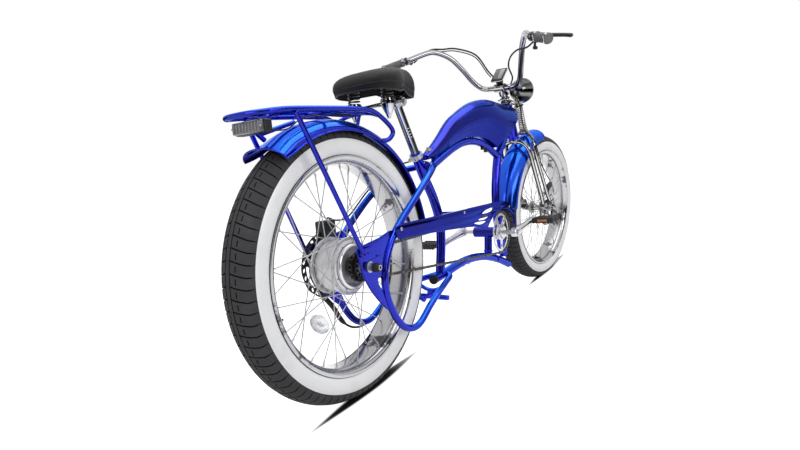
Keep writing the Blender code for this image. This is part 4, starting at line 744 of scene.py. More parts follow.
for centre, prefix, body in ((REAR, "rear", "rear_wheel"), (FRONT, "front", "front_wheel")):
    tyre(centre, prefix, body)
    rim(centre, prefix, body)
spokes(REAR, "rear", -1, 0.0725, 0.024, "rear_wheel")
spokes(REAR, "rear", 1, 0.0725, 0.042, "rear_wheel", pi / 9)
spokes(FRONT, "front", -1, 0.027, 0.03, "front_wheel")
spokes(FRONT, "front", 1, 0.027, 0.03, "front_wheel", pi / 9)
rotor(REAR, 0.064, "rear_brake_disc", "rear_wheel")
rotor(FRONT, -0.0525, "front_brake_disc", "front_wheel")

# Hub motor: cast shell, side cover with ribs and screws
shell = tenths([(92, -700), (172, -700), (175, -697), (175, -300), (440, -300), (480, -330), (500, -390),
    (515, -420), (545, -432), (578, -424), (596, -398), (604, -362), (612, -340), (640, -330), (668, -324),
    (679, -312), (679, 60), (670, 68), (670, 100), (679, 108), (679, 474), (670, 486), (585, 556), (400, 575),
    (205, 590), (205, 670), (92, 670)])
motor = [collar(shell + tenths([(92, 555), (570, 520), (639, 450), (639, -100), (430, -265), (92, -265)]), REAR,
    (0, 1, 0), CAST, 120)]
# The thin black rings here and just below are painted shade in the gaps, at the shell's step and between flange
# and drum
motor += [collar(tenths([(549, -440), (578, -432), (602, -404), (560, -404)]), REAR, (0, 1, 0), TURNED, 96),
    collar(tenths([(606, -350), (620, -344), (620, -330), (606, -330)]), REAR, (0, 1, 0), BLACK, 96)]
motor += [collar([(0.0672, y), (0.0684, y), (0.0684, y + 0.0014), (0.0672, y + 0.0014)], REAR, (0, 1, 0), BLACK,
    96) for y in (-0.0208, 0.0374)]
for i in range(9):
    a = TAU * i / 9
    motor.append(bolt_head(polar(REAR, 0.0642, a, -0.0331), (0, -1, 0), 0.0025, 0.0018))
    motor.append(bolt_head(polar(REAR, 0.053, a, 0.0562), (0, 1, 0), 0.003, 0.0024))
show(together(*motor), "hub_motor_cast_shell", "rear_wheel", "hub_motor_shell")

# Oval clear reflector clipped between two spokes
dome = lathe(tenths([(0, 65), (120, 62), (215, 46), (250, 22), (255, 0), (250, -22), (215, -46), (0, -62)]),
    (0, 0, 0), (0, 1, 0), CLEAR, 48)
dome.data.transform(Matrix.Translation((-0.133, -0.024, 0.244)) @ Matrix.Rotation(radians(38), 4,
    "Y") @ Matrix.Diagonal((1.42, 1.0, 0.86, 1.0)))
clip = block((-0.133, -0.024, 0.244), (0.02, 0.015, 0.008), CLEAR, Matrix.Rotation(radians(38), 3, "Y"),
    soft=0.002)
show(together(dome, clip), "spoke_reflector", "rear_wheel")

# Motor axle with its nuts, washers, stator inside and the cable to the frame
axle = [lathe(tenths([(0, -1270), (66, -1270), (74, -1262), (74, -840), (90, -835), (90, 20), (300, 20),
    (310, 60), (600, 60), (609, 70), (609, 340), (600, 350), (500, 440), (90, 440), (90, 835), (74, 840),
    (74, 1262), (66, 1270), (0, 1270)]), REAR, (0, 1, 0), STEEL, 40)]
for side in (-1, 1):
    at = REAR + aside(side * 0.093)
    axle.append(lathe(tenths([(74, 0), (140, 0), (146, 6), (146, 18), (74, 24)]), at, (0, side, 0), STEEL, 40))
    axle.append(lathe(tenths([(74, 0), (112, 0), (120, 16), (120, 100), (108, 124), (74, 124)]),
        at + aside(side * 0.0022), (0, side, 0), STEEL, 6))
    axle.append(lathe(tenths([(75, 0), (112, 0), (122, 20), (120, 120), (108, 180), (70, 212), (0, 220)]),
        at + aside(side * 0.0125), (0, side, 0), RUBBER, 40))
lead = smooth(tenths([(0, 1180, 3600), (0, 1240, 3430), (80, 1260, 3150), (300, 1180, 2700), (620, 1100, 2250),
    (950, 1090, 1720), (1350, 1080, 1400), (1850, 1080, 1280), (2350, 1070, 1400), (3000, 1000, 1850)]), 6)
axle.append(pipe(lead, 0.0036, RUBBER, 14))
axle.append(pipe(lead[15:33], 0.0078, RUBBER, 24, scales=[0.6, 0.8, 0.95] + [1.0] * 12 + [0.95, 0.8, 0.6]))
show(together(*axle), "motor_axle_nuts_and_lead", "frame", "motor_axle")


# Chain drive: rollers and side plates round both toothed wheels
RING_R, COG_R = 0.0849, 0.0366
LINK_PITCH = 0.0127
DRIVE = hypot(CRANK_AT.x, CRANK_AT.z - REAR.z)
BASE = atan2(CRANK_AT.z - REAR.z, CRANK_AT.x)
LEAN = acos((RING_R - COG_R) / DRIVE)


def chain_point(s):
    """Place and direction at a distance s along the chain's pitch line."""
    lengths = [2 * (pi - LEAN) * RING_R, DRIVE * sin(LEAN), 2 * LEAN * COG_R, DRIVE * sin(LEAN)]
    s %= sum(lengths)
    start = BASE - (pi - LEAN)
    corner = [Vector((c.x + r * cos(a), 0, c.z + r * sin(a))) for c, r,
        a in ((CRANK_AT, RING_R, start), (CRANK_AT, RING_R, -start + 2 * BASE), (REAR, COG_R, BASE + pi - LEAN),
        (REAR, COG_R, BASE - pi + LEAN))]
    if s < lengths[0]:
        a = start + s / RING_R
        return Vector((CRANK_AT.x + RING_R * cos(a), 0, CRANK_AT.z + RING_R * sin(a)))
    s -= lengths[0]
    if s < lengths[1]:
        return corner[1].lerp(corner[2], s / lengths[1])
    s -= lengths[1]
    if s < lengths[2]:
        a = BASE + pi - LEAN + s / COG_R
        return Vector((REAR.x + COG_R * cos(a), 0, REAR.z + COG_R * sin(a)))
    return corner[3].lerp(corner[0], (s - lengths[2]) / lengths[3])


def chain():
    total = 2 * (pi - LEAN) * RING_R + 2 * LEAN * COG_R + 2 * DRIVE * sin(LEAN)
    count = 2 * round(total / LINK_PITCH / 2)
    pins = [chain_point(total * i / count) for i in range(count)]
    verts, faces = [], []
    bone = tenths([(-40, 0), (-28, 30), (0, 40), (63, 24), (127, 40), (155, 30), (167, 0), (155, -30),
        (127, -40), (63, -24), (0, -40), (-28, -30)])
    for i, p in enumerate(pins):
        way = (pins[(i + 1) % count] - p).normalized()
        up = Vector((-way.z, 0, way.x))
        gap = 0.0042 if i % 2 else 0.0029
        for side in (-1, 1):
            base = len(verts)
            for y in (gap, gap + 0.001):
                verts += [p + way * u + up * v + aside(CHAIN_Y + side * y) for u, v in bone]
            n = len(bone)
            faces.append(tuple(base + k for k in range(n)))
            faces.append(tuple(base + n + k for k in reversed(range(n))))
            faces += [(base + k, base + (k + 1) % n, base + n + (k + 1) % n, base + n + k) for k in range(n)]
        for r, half in ((0.0038, 0.0029), (0.0018, 0.0058)):
            base = len(verts)
            for y in (-half, half):
                verts += [p + way * (r * cos(TAU * k / 10)) + up * (r * sin(TAU * k / 10)) + aside(CHAIN_Y + y)
                    for k in range(10)]
            faces.append(tuple(base + k for k in range(10)))
            faces.append(tuple(base + 10 + k for k in reversed(range(10))))
            faces += [(base + k, base + (k + 1) % 10, base + 10 + (k + 1) % 10,
                base + 10 + k) for k in range(10)]
    return outward(coat(mesh_object("chain", verts, faces), CHAIN), weld=0.0)


show(chain(), "roller_chain", "frame", "chain", sharp=50.0)


def toothed(centre, pitch_r, teeth, y, half, paint, holes):
    """A wheel with chain teeth, whose tips stay clear of the rollers at any turn."""
    edge = []
    for i in range(teeth):
        for u, r in ((0, -0.0074), (0.16, -0.007), (0.3, -0.0058), (0.44, -0.0042), (0.56, -0.0042),
                (0.7, -0.0058), (0.84, -0.007)):
            a = TAU * (i + u) / teeth
            edge.append((centre.x + (pitch_r + r) * cos(a), centre.z + (pitch_r + r) * sin(a)))
    return slab(edge, y - half, y + half, paint, holes, soft=0.0003)


body = collar(tenths([(178, -690), (290, -690), (300, -682), (300, -640), (288, -628), (286, -622), (286, -545),
    (290, -535), (295, -430), (270, -330), (178, -330)]), REAR, (0, 1, 0), BLACK, 72)
notches = ringed(block(REAR + vec(240, -694, 0), (0.006, 0.002, 0.004), STEEL, soft=0.0006), REAR, 12)
cog = toothed(REAR, COG_R, 18, CHAIN_Y, 0.0015, BLACK, [circle(REAR.x, REAR.z, 0.027, 48)])
cog2 = toothed(REAR, 0.0385, 16, -0.048, 0.001, BLACK, [circle(REAR.x, REAR.z, 0.027, 48)])
show(together(body, notches, cog, cog2), "freewheel_cogs", "freewheel_body", "freewheel")

# Crankset: toothed ring on five arms with its bolts, crank arms and spindle
CRANK_ANGLE, CRANK_LENGTH = radians(10.5), 0.17
windows = []
for i in range(5):
    mid = radians(90 + 72 * i)
    arc = circle(CRANK_AT.x, CRANK_AT.z, 0.0705, 14, mid - radians(29), mid + radians(29))
    arc += circle(CRANK_AT.x, CRANK_AT.z, 0.034, 8, mid + radians(20), mid - radians(20))
    windows.append(arc)
gear = [toothed(CRANK_AT, RING_R, 42, CHAIN_Y, 0.0016, TURNED, windows)]
for i in range(5):
    a = radians(54 + 72 * i)
    gear.append(bolt_head(polar(CRANK_AT, 0.056, a, CHAIN_Y - 0.0016), (0, -1, 0), 0.0058, 0.0026))
gear.append(lathe(tenths([(0, -720), (240, -720), (268, -700), (280, -640), (340, -620), (345, -560),
    (280, -540), (270, -480), (0, -480)]), CRANK_AT, (0, 1, 0), TURNED, 72))
gear.append(rod(CRANK_AT + aside(-0.126), CRANK_AT + aside(0.126), 0.0085, STEEL, 32))
for side in (-1, 1):
    ca, sa = cos(CRANK_ANGLE) * -side, sin(CRANK_ANGLE) * -side
    end = CRANK_AT + Vector((CRANK_LENGTH * ca, side * 0.138, CRANK_LENGTH * sa))
    start = CRANK_AT + aside(side * 0.118)
    arm = pipe([start.lerp(end, t) for t in (0.02, 0.1, 0.2, 0.35, 0.5, 0.65, 0.8, 0.9, 0.98)], 0.0152, TURNED,
        36, scales=[1.2, 1.3, 1.16, 1.0, 0.93, 0.9, 0.9, 0.97, 1.0])
    gear += [arm, lathe(tenths([(85, -110), (175, -110), (190, -95), (190, 90), (175, 108), (115, 112),
        (108, 95), (0, 95)]), start, (0, side, 0), TURNED, 48), lathe(tenths([(0, -90), (126, -90), (140, -76),
        (140, 72), (128, 86), (0, 86)]), end, (0, side, 0), TURNED, 40),
        bolt_head(start + aside(side * 0.0095), (0, side, 0), 0.008, 0.003),
        nut(end + aside(side * 0.0085), (0, side, 0), 0.0085, 0.004), rod(end, end + aside(side * 0.1), 0.0059,
        STEEL, 20)]
show(together(*gear), "crankset_with_toothed_ring", "crank_body", "crankset")

# Pedals: moulded cage with grip ribs, cone bearing ends and amber reflectors
for side in (-1, 1):
    word = hand(side)
    ca, sa = cos(CRANK_ANGLE) * -side, sin(CRANK_ANGLE) * -side
    at = CRANK_AT + Vector((CRANK_LENGTH * ca, side * 0.193, CRANK_LENGTH * sa))
    bits = [collar(tenths([(62, -440), (100, -440), (118, -425), (130, -360), (130, 380), (122, 430),
        (62, 435)]), at, (0, 1, 0), PLASTIC, 36), lathe(tenths([(0, 0), (85, 0), (90, 20), (70, 45), (0, 50)]),
        at + aside(side * 0.043), (0, side, 0), PLASTIC, 24)]
    for x in (-1, 1):
        bits.append(block(at + Vector((x * 0.039, 0, 0)), (0.014, 0.09, 0.022), PLASTIC, soft=0.003))
        bits.append(block(at + Vector((x * 0.0466, 0, 0)), (0.003, 0.04, 0.009), AMBER if side < 0 else PLASTIC,
            soft=0.001))
        for k in range(7):
            y = -0.039 + 0.013 * k
            bits.append(block(at + Vector((x * 0.039, y, 0)), (0.012, 0.005, 0.0252), PLASTIC, soft=0.0012))
    for y in (-0.039, 0.039):
        bits.append(block(at + aside(y), (0.08, 0.008, 0.02), PLASTIC, soft=0.002))
    for y in (-0.019, 0, 0.019):
        bits.append(block(at + aside(y), (0.076, 0.005, 0.016), PLASTIC, soft=0.0015))
    show(together(*bits), f"pedal_{word}_with_reflectors", f"{word}_pedal_body", f"pedal_{word}")


# Frame tubes with a bead of weld at each joint
def bead(centre, axis, radius, size):
    """A rippled ring of weld round a tube."""
    u = Vector(axis).normalized()
    a = u.orthogonal().normalized()
    b = u.cross(a)
    n = 96
    path = [Vector(centre) + a * (radius * cos(TAU * i / n)) + b * (radius * sin(TAU * i / n))
        for i in range(n)]
    return pipe(path, size, CANDY, 10, closed=True, scales=[1 + 0.16 * cos(TAU * i / 3) for i in range(n)])


SEAT_TOP = vec(4080, 0, 6580)
SEAT_ANGLE = radians(60.5)
SEAT_DOWN = Vector((cos(SEAT_ANGLE), 0, -sin(SEAT_ANGLE)))
seat_path = smooth([SEAT_TOP, (0.454, 0, 0.577), (0.505, 0, 0.5), (0.538, 0, 0.415), (0.536, 0, 0.335),
    (0.516, 0, 0.233)], 10)
arch_path = smooth(tenths([(4650, 0, 2215), (5500, 0, 2270), (6300, 0, 2355), (7100, 0, 2415), (8000, 0, 2375),
    (9000, 0, 2235), (10000, 0, 1975), (10750, 0, 1720), (11480, 0, 1430)]), 8)
down_path = smooth([(1.083, 0, 0.638), (1.062, 0, 0.575), (1.046, 0, 0.51), (1.04, 0, 0.44), (1.047, 0, 0.35),
    (1.071, 0, 0.26), (1.096, 0, 0.195)], 10)
top_path = smooth(tenths([(4700, 0, 5965), (5240, 0, 6190), (6230, 0, 6565), (6870, 0, 6775), (7460, 0, 6915),
    (8160, 0, 6985), (8890, 0, 6955), (9640, 0, 6795), (10200, 0, 6600), (10800, 0, 6350)]), 8)
HEAD_LOW, HEAD_TOP = steer_point(0.712), steer_point(0.862)

seat_tube = pipe(seat_path, 0.0165, CANDY, 36)
mouth = lathe(tenths([(140, -4), (168, -2), (172, 10), (172, 100), (164, 112)]), SEAT_TOP - SEAT_DOWN * 0.0004,
    SEAT_DOWN, CANDY, 48)
show(together(seat_tube, mouth, bead(seat_path[-4], seat_path[-1] - seat_path[-5], 0.0172, 0.0022)),
    "seat_tube_smooth", "frame", "seat_tube")
plug = lathe(tenths([(140, -100), (170, -95), (174, 10), (150, 32), (0, 40), (0, -100)]), arch_path[0],
    arch_path[0] - arch_path[1], RUBBER, 32)
show(together(pipe(arch_path, 0.0165, CANDY, 36), plug, bead(arch_path[-17], (0.09, 0, 0.04), 0.019, 0.0024),
    rod((0.745, 0, 0.22), (0.745, 0, 0.2275), 0.005, STEEL), rod((0.7, 0, 0.2205), (0.7, 0, 0.2275), 0.005,
    STEEL)), "arch_tube_smooth", "frame", "lower_arch_tube")
show(together(pipe(top_path, 0.0145, CANDY, 36), bead(top_path[5], top_path[6] - top_path[4], 0.015, 0.0022),
    block((0.934, 0, 0.67), (0.024, 0.012, 0.011), RUBBER, soft=0.003),
    block((0.96, 0, 0.662), (0.016, 0.012, 0.016), RUBBER, soft=0.003)), "top_tube_smooth", "frame", "top_tube")

head = collar(tenths([(150, 0), (240, 0), (250, 8), (250, 120), (240, 134), (232, 150), (232, 1519),
    (240, 1535), (250, 1548), (250, 1660), (240, 1669), (150, 1669)]), HEAD_LOW, STEER_AXIS, CANDY, 72)
cup_low = collar(tenths([(150, -100), (215, -100), (245, -80), (250, -20), (240, -2), (150, -2)]), HEAD_LOW,
    STEER_AXIS, CHROME, 64)
cup_top = collar(tenths([(150, 2), (240, 2), (250, 22), (236, 84), (190, 100), (150, 100)]), HEAD_TOP,
    STEER_AXIS, CHROME, 64)
gusset = slab(flat_curve([(1.08, 0.63), (1.108, 0.635), (1.19, 0.705), (1.221, 0.744), (1.19, 0.735),
    (1.12, 0.68)], 4), -0.003, 0.003, CANDY)
show(together(pipe(down_path, 0.0185, CANDY, 40), rod((1.083, 0, 0.64), (1.23, 0, 0.769), 0.0165, CANDY, 40),
    bead((1.216, 0, 0.756), (0.75, 0, 0.66), 0.0185, 0.0024), head, cup_low, cup_top, gusset,
    bead(down_path[0] + vec(10, 0, 40), (0.1, 0, 0.3), 0.018, 0.0026)), "down_tube_and_head", "frame",
    "down_tube")
shell = collar(sleeve(90, 215, -350, 620, 10, 8), CRANK_AT, (0, 1, 0), DEEP, 56)
cups = [collar(tenths([(95, 0), (205, 0), (212, 8), (205, 40), (150, 52), (95, 52)]),
    CRANK_AT + aside(s * 0.035), (0, s, 0), STEEL, 48) for s in (-1, 1)]
show(together(shell, *cups, rod(CRANK_AT, CRANK_AT + vec(-110, 0, -910), 0.0165, CANDY, 40),
    bead(CRANK_AT + vec(-100, 0, -790), (-0.12, 0, -1), 0.0172, 0.0026)), "bottom_bracket_smooth", "frame",
    "bottom_bracket_shell")


def loop(s):
    """Tube loop round one side of the rear wheel, with its slotted axle plate and fixings."""
    y = 0.09 * s
    pts = [(0.479, 0, 0.614), (0.476, 0.017 * s, 0.614), (0.461, 0.033 * s, 0.6125), (0.415, 0.057 * s, 0.604),
        (0.345, 0.079 * s, 0.579), (0.26, 0.089 * s, 0.531), (0.166, y, 0.467), (0.117, y, 0.425),
        (0.084, y, 0.38), (0.065, y, 0.33), (0.064, y, 0.285), (0.078, y, 0.24), (0.106, y, 0.193),
        (0.14, y, 0.16), (0.185, y, 0.144), (0.228, y, 0.15), (0.29, 0.087 * s, 0.182),
        (0.36, 0.079 * s, 0.206), (0.44, 0.061 * s, 0.218), (0.51, 0.04 * s, 0.222), (0.542, 0.021 * s, 0.225),
        (0.548, 0, 0.225)]
    outline = tenths([(-420, 4180), (-385, 3980), (-290, 3560), (-140, 3240), (80, 2920), (400, 2560),
        (720, 2300), (700, 2560), (560, 2780), (340, 3080), (300, 3240), (400, 3330), (580, 3290), (680, 3380),
        (750, 3600), (900, 3950), (1260, 4360), (1050, 4440), (550, 4330), (0, 4260)])
    y0, y1 = sorted((s * 0.087, s * 0.093))
    slot = circle(0.0, WHEEL_R, 0.0078, 16, radians(90), radians(270)) + [(0.016, 0.3572), (0.016, 0.3728)]
    plate = slab(flat_curve(outline, 4), y0, y1, CANDY, [slot, circle(-0.029, 0.4055, 0.0034, 16),
        circle(0.03, 0.39, 0.0034, 16)], soft=0.0008)
    bits = [pipe(smooth(pts, 8), 0.0105, CANDY, 32), plate]
    bits.append(bolt_head((-0.029, s * 0.093, 0.4055), (0, s, 0), 0.006, 0.004))
    bits.append(nut((-0.029, s * 0.087, 0.4055), (0, -s, 0), 0.0056, 0.004))
    bits.append(bolt_head((0.1752, s * 0.099, 0.456), (0, s, 0), 0.005, 0.0035))
    bits.append(bead((0.479, 0.005 * s, 0.614), (0.05, 1, 0), 0.0112, 0.002))
    show(together(*bits), f"loop_{hand(s)}_with_axle_plate", "frame", f"frame_loop_{hand(s)}")


loop(-1)
loop(1)


def fender(centre, start, stop, crown, flare=True, paint=CANDY):
    """Rolled mudguard: a domed sheet with a beaded edge, flared at its tail."""
    steps, ribs = 96, 24
    rows_out, rows_in = [], []
    for i in range(steps + 1):
        a = radians(start + (stop - start) * i / steps)
        gone = abs(stop - start) * i / steps
        lift = max(0.0, 1.0 - gone / 9.0) ** 2 if flare else 0.0
        for rows, sink in ((rows_out, 0), (rows_in, 0.0011)):
            row = []
            for j in range(ribs + 1):
                t = radians(-90 + 180 * j / ribs)
                r = 0.35 + (crown - 0.35 - sink) * cos(t) + 0.01 * lift
                w = (0.06 - sink) * sin(t) * (1 + 0.16 * lift)
                row.append(polar(centre, r, a, w))
            rows.append(row)
    verts = [v for row in rows_out + rows_in for v in row]
    n, m = ribs + 1, steps + 1
    outer = quads(m, n, False, False)
    faces = outer + [tuple(n * m + v for v in reversed(quad)) for quad in outer]
    sheet = coat(mesh_object("sheet", verts, faces), paint)
    rim = [row[0] for row in rows_out] + rows_out[-1] + [row[-1] for row in reversed(rows_out)]
    rim += list(reversed(rows_out[0]))
    kept = [rim[0]]
    for p in rim[1:]:
        if (p - kept[-1]).length > 0.0005:
            kept.append(p)
    if (kept[0] - kept[-1]).length < 0.0005:
        kept.pop()
    return together(sheet, pipe(kept, 0.0019, paint, 12, closed=True))


hangers = [block((0.127, 0, 0.719), (0.03, 0.024, 0.003), CANDY, Matrix.Rotation(radians(20), 3, "Y"),
    soft=0.001), bolt_head((0.119, 0, 0.733), (0.3, 0, 0.95), 0.005, 0.0035)]
show(together(fender(REAR, 128.0, 8.0, 0.383), *hangers), "rear_mudguard", "frame", "rear_fender")

# Luggage rack
side = tenths([(1350, -668, 6880), (1570, -760, 6920), (1730, -800, 7090), (1620, -800, 7270),
    (1190, -800, 7520), (770, -800, 7650), (100, -800, 7645), (-500, -800, 7620), (-1950, -800, 7530),
    (-2450, -740, 7480), (-2700, -560, 7450), (-2830, -300, 7440), (-2850, 0, 7440)])
ring = mirrored(side)
bars = [pipe(smooth(ring, 6), 0.0065, CANDY, 24, round_end=0.5)]
front = [(0.119, -0.08, 0.752), (0.128, -0.04, 0.764), (0.132, 0, 0.768)]
bars.append(pipe(smooth(mirrored(front), 6), 0.0052, CANDY, 20))
for y in (-0.028, 0.028):
    bars.append(pipe(smooth([(-0.284, y, 0.744), (-0.195, y, 0.7555), (-0.045, y, 0.765), (0.129, y, 0.7665)],
        6), 0.0052, CANDY, 20))
for x, z in ((-0.195, 0.75), (-0.045, 0.76)):
    bars.append(pipe([(x, -0.0795, z), (x, -0.02, z), (x, 0.02, z), (x, 0.0795, z)], 0.0052, CANDY, 20))
bars.append(rod((0.132, 0, 0.765), (0.1185, 0, 0.733), 0.0048, CANDY))
for y in (-1, 1):
    foot, top = Vector((-0.0306, y * 0.1002, 0.406)), Vector((-0.1945, y * 0.0835, 0.747))
    bars.append(pipe([top, top.lerp(foot, 0.03), top.lerp(foot, 0.5), top.lerp(foot, 0.93), foot], 0.0061,
        CANDY, 24))
    bars.append(collar(sleeve(36, 95, -30, 30, 10, 10), foot + vec(10, 0, -20), (0, 1, 0), CANDY, 32))
    bars.append(pipe([top + Vector((0.006, -0.004 * y, 0.002)), top + Vector((0.022, -0.006 * y, 0.004))],
        0.004, CANDY, 12))
for a, b, r in (((-0.239, 0, 0.71), (-0.2165, 0, 0.6935), 0.0058), ((-0.235, 0, 0.712), (-0.195, 0, 0.75),
        0.0054), ((-0.23, 0, 0.706), (-0.12, 0, 0.737), 0.0054)):
    bars.append(rod(a, b, r, CANDY, 20))
bars.append(block((-0.228, 0, 0.726), (0.006, 0.07, 0.034), CANDY, soft=0.0015))
show(together(*bars), "rack_of_round_bars", "frame", "rear_rack")

# Tail lamp: housing, ribbed lens, screws and lead
lens = [block((-0.245, 0, 0.7205), (0.025, 0.1, 0.03), PLASTIC, soft=0.005),
    block((-0.26, 0, 0.7205), (0.009, 0.096, 0.0262), SMOKE, soft=0.0035)]
for k in range(9):
    lens.append(block((-0.2644, -0.04 + 0.01 * k, 0.7205), (0.003, 0.003, 0.021), RIB_GREY, soft=0.001))
for y in (-0.0475, 0.0475):
    lens.append(bolt_head((-0.264, y * 0.97, 0.7205), (-1, 0, 0), 0.0026, 0.0016))
wire = smooth(tenths([(-2330, -300, 7200), (-2150, -340, 7120), (-1700, -300, 7180), (-1200, -240, 7420),
    (-600, -200, 7540), (400, -200, 7580), (1250, -100, 7600)]), 6)
lens.append(pipe(wire, 0.0015, RUBBER, 8))
show(together(*lens), "tail_lamp_with_ribs", "frame", "tail_light")

# Chain guard: pressed plate with rolled edge, folded top, slots and a raised oval boss
outline = tenths([(1180, 4330), (1300, 4560), (3000, 4560), (5500, 4560), (7500, 4550), (8600, 4548),
    (9040, 4510), (9400, 4350), (9715, 4060), (9883, 3656), (9863, 3487), (9770, 3540), (9600, 3880),
    (9400, 4070), (9072, 4200), (8700, 4252), (8359, 4259), (7865, 4170), (7360, 3893), (7064, 3705),
    (6600, 3780), (5827, 3923), (3800, 4070), (1772, 4170), (1300, 4190)])
slots = [[(0.668, 0.427), (0.73, 0.426), (0.766, 0.435), (0.756, 0.442), (0.7, 0.438)],
    [(0.633, 0.408), (0.685, 0.404), (0.723, 0.412), (0.715, 0.42), (0.67, 0.419)],
    [(0.596, 0.401), (0.65, 0.39), (0.698, 0.395), (0.688, 0.399), (0.63, 0.403)]]
rings = [flat_curve(s, 4) for s in slots]
plate = slab(flat_curve(outline, 5), -0.104, -0.1025, DEEP, rings, soft=0.0005)
lips = [pipe([(x, -0.104, z) for x, z in r], 0.0011, DEEP, 8, closed=True) for r in rings]
edge = pipe([(x, -0.1035, z) for x, z in flat_curve(outline, 5)], 0.0016, DEEP, 10, closed=True)
fold = block((0.515, -0.093, 0.455), (0.74, 0.021, 0.0014), DEEP, soft=0.0006)
boss = slab(flat_curve([(0.78, 0.437), (0.805, 0.445), (0.84, 0.444), (0.86, 0.439), (0.835, 0.432),
    (0.8, 0.432)], 5), -0.1058, -0.1036, DEEP, soft=0.0009)
show(together(plate, *lips, edge, fold, boss, rod((0.14, -0.103, 0.4447), (0.14, -0.092, 0.4447), 0.006, DEEP),
    bolt_head((0.14, -0.104, 0.4447), (0, -1, 0), 0.0052, 0.003), bolt_head((0.527, -0.104, 0.448), (0, -1, 0),
    0.0048, 0.0028), bolt_head((0.93, -0.104, 0.428), (0, -1, 0), 0.0044, 0.0026),
    rod((0.527, -0.103, 0.448), (0.527, -0.008, 0.448), 0.0048, DEEP)), "pressed_chain_guard", "frame",
    "chain_guard")

# Stand bracket and folding leg
STAND = vec(4500, 600, 1650)
STAND_AXIS = vec(753, 9063, 4160).normalized()
hanger = smooth(tenths([(4500, -560, 2140), (4500, -300, 1950), (4500, 0, 1880), (4500, 300, 1950),
    (4500, 560, 2140)]), 6)
show(together(pipe(hanger, 0.007, CANDY, 24), block((0.45, 0, 0.176), (0.03, 0.024, 0.02), CANDY, soft=0.003),
    rod((0.45, -0.06, 0.165), (0.45, 0.04, 0.165), 0.009, CANDY), rod(STAND - STAND_AXIS * 0.035,
    STAND - STAND_AXIS * 0.01, 0.01, CANDY), rod(STAND - STAND_AXIS * 0.03, STAND + STAND_AXIS * 0.011, 0.0049,
    STEEL), bolt_head(STAND + STAND_AXIS * 0.0098, STAND_AXIS, 0.008, 0.005),
    lathe(tenths([(0, 0), (80, 0), (88, 10), (88, 40), (0, 50)]), (0.45, -0.06, 0.165), (0, -1, 0), CANDY, 28)),
    "stand_bracket_smooth", "frame", "stand_bracket")
leg = smooth([STAND + vec(-60, 30, -10), STAND + vec(-500, 120, -120), STAND + vec(-1500, 240, -300),
    STAND + vec(-1830, 300, -320)], 8)
show(together(collar(tenths([(52, -90), (128, -90), (140, -78), (140, 84), (130, 95), (52, 95)]), STAND,
    STAND_AXIS, BLACK, 48), pipe(leg, 0.008, BLACK, 28, scales=[1.15 - 0.25 * i / (len(leg) - 1)
    for i in range(len(leg))]), pipe([leg[-1] + vec(200, -32, 12), leg[-1], leg[-1] + vec(-25, 0, 0)], 0.0094,
    RUBBER, 28, round_end=0.3)), "stand_leg_with_foot", "stand_body", "kickstand")

# Rear brake: two-part caliper, bracket, bolts, hose and its clips
jaw = cut(block((0.024, 0.069, 0.464), (0.06, 0.026, 0.044), BLACK, soft=0.005),
    rod(REAR + aside(0.0612), REAR + aside(0.0668), 0.093, BLACK, 64))
hose = smooth(tenths([(300, 700, 4720), (450, 780, 4900), (900, 860, 4780), (1500, 880, 4840),
    (2500, 900, 5480), (3400, 780, 6010), (4100, 560, 6270), (4700, 400, 6340), (5300, 270, 6280)]), 6)
show(together(coat(jaw, BLACK), block((0.024, 0.0826, 0.435), (0.05, 0.0082, 0.044), BLACK, soft=0.002),
    lathe(tenths([(0, 0), (105, 0), (115, 10), (115, 30), (0, 40)]), (0.024, 0.082, 0.47), (0, 1, 0), BLACK,
    32), bolt_head((0.006, 0.0867, 0.428), (0, 1, 0), 0.0045, 0.004), bolt_head((0.042, 0.0867, 0.428),
    (0, 1, 0), 0.0045, 0.004), nut((0.03, 0.07, 0.47), (0.3, 0.2, 1), 0.0052, 0.008),
    pipe(hose, 0.0026, RUBBER, 12), *[collar(tenths([(100, -30), (118, -30), (118, 30), (100, 30)]), p, d,
    RUBBER, 28) for p, d in (((0.26, 0.089, 0.531), (0.8, -0.08, -0.53)),
    ((0.38, 0.069, 0.593), (0.85, -0.3, 0.3)))]), "rear_brake_with_hose", "frame", "rear_brake_caliper")

# Battery case: lofted shell with a border fold, a lid seam, a cover line at the nose
TANK = tenths([(4620, 6510, 6330, 170), (5200, 6820, 6420, 210), (5820, 7230, 6600, 260),
    (6230, 7540, 6750, 290), (6640, 7800, 6880, 330), (7060, 7980, 7000, 375), (7660, 8220, 7110, 430),
    (8380, 8460, 7150, 500), (9120, 8610, 7095, 545), (9900, 8640, 6900, 580), (10820, 8580, 6560, 600),
    (11930, 8540, 6560, 590), (12600, 8490, 6560, 520)])


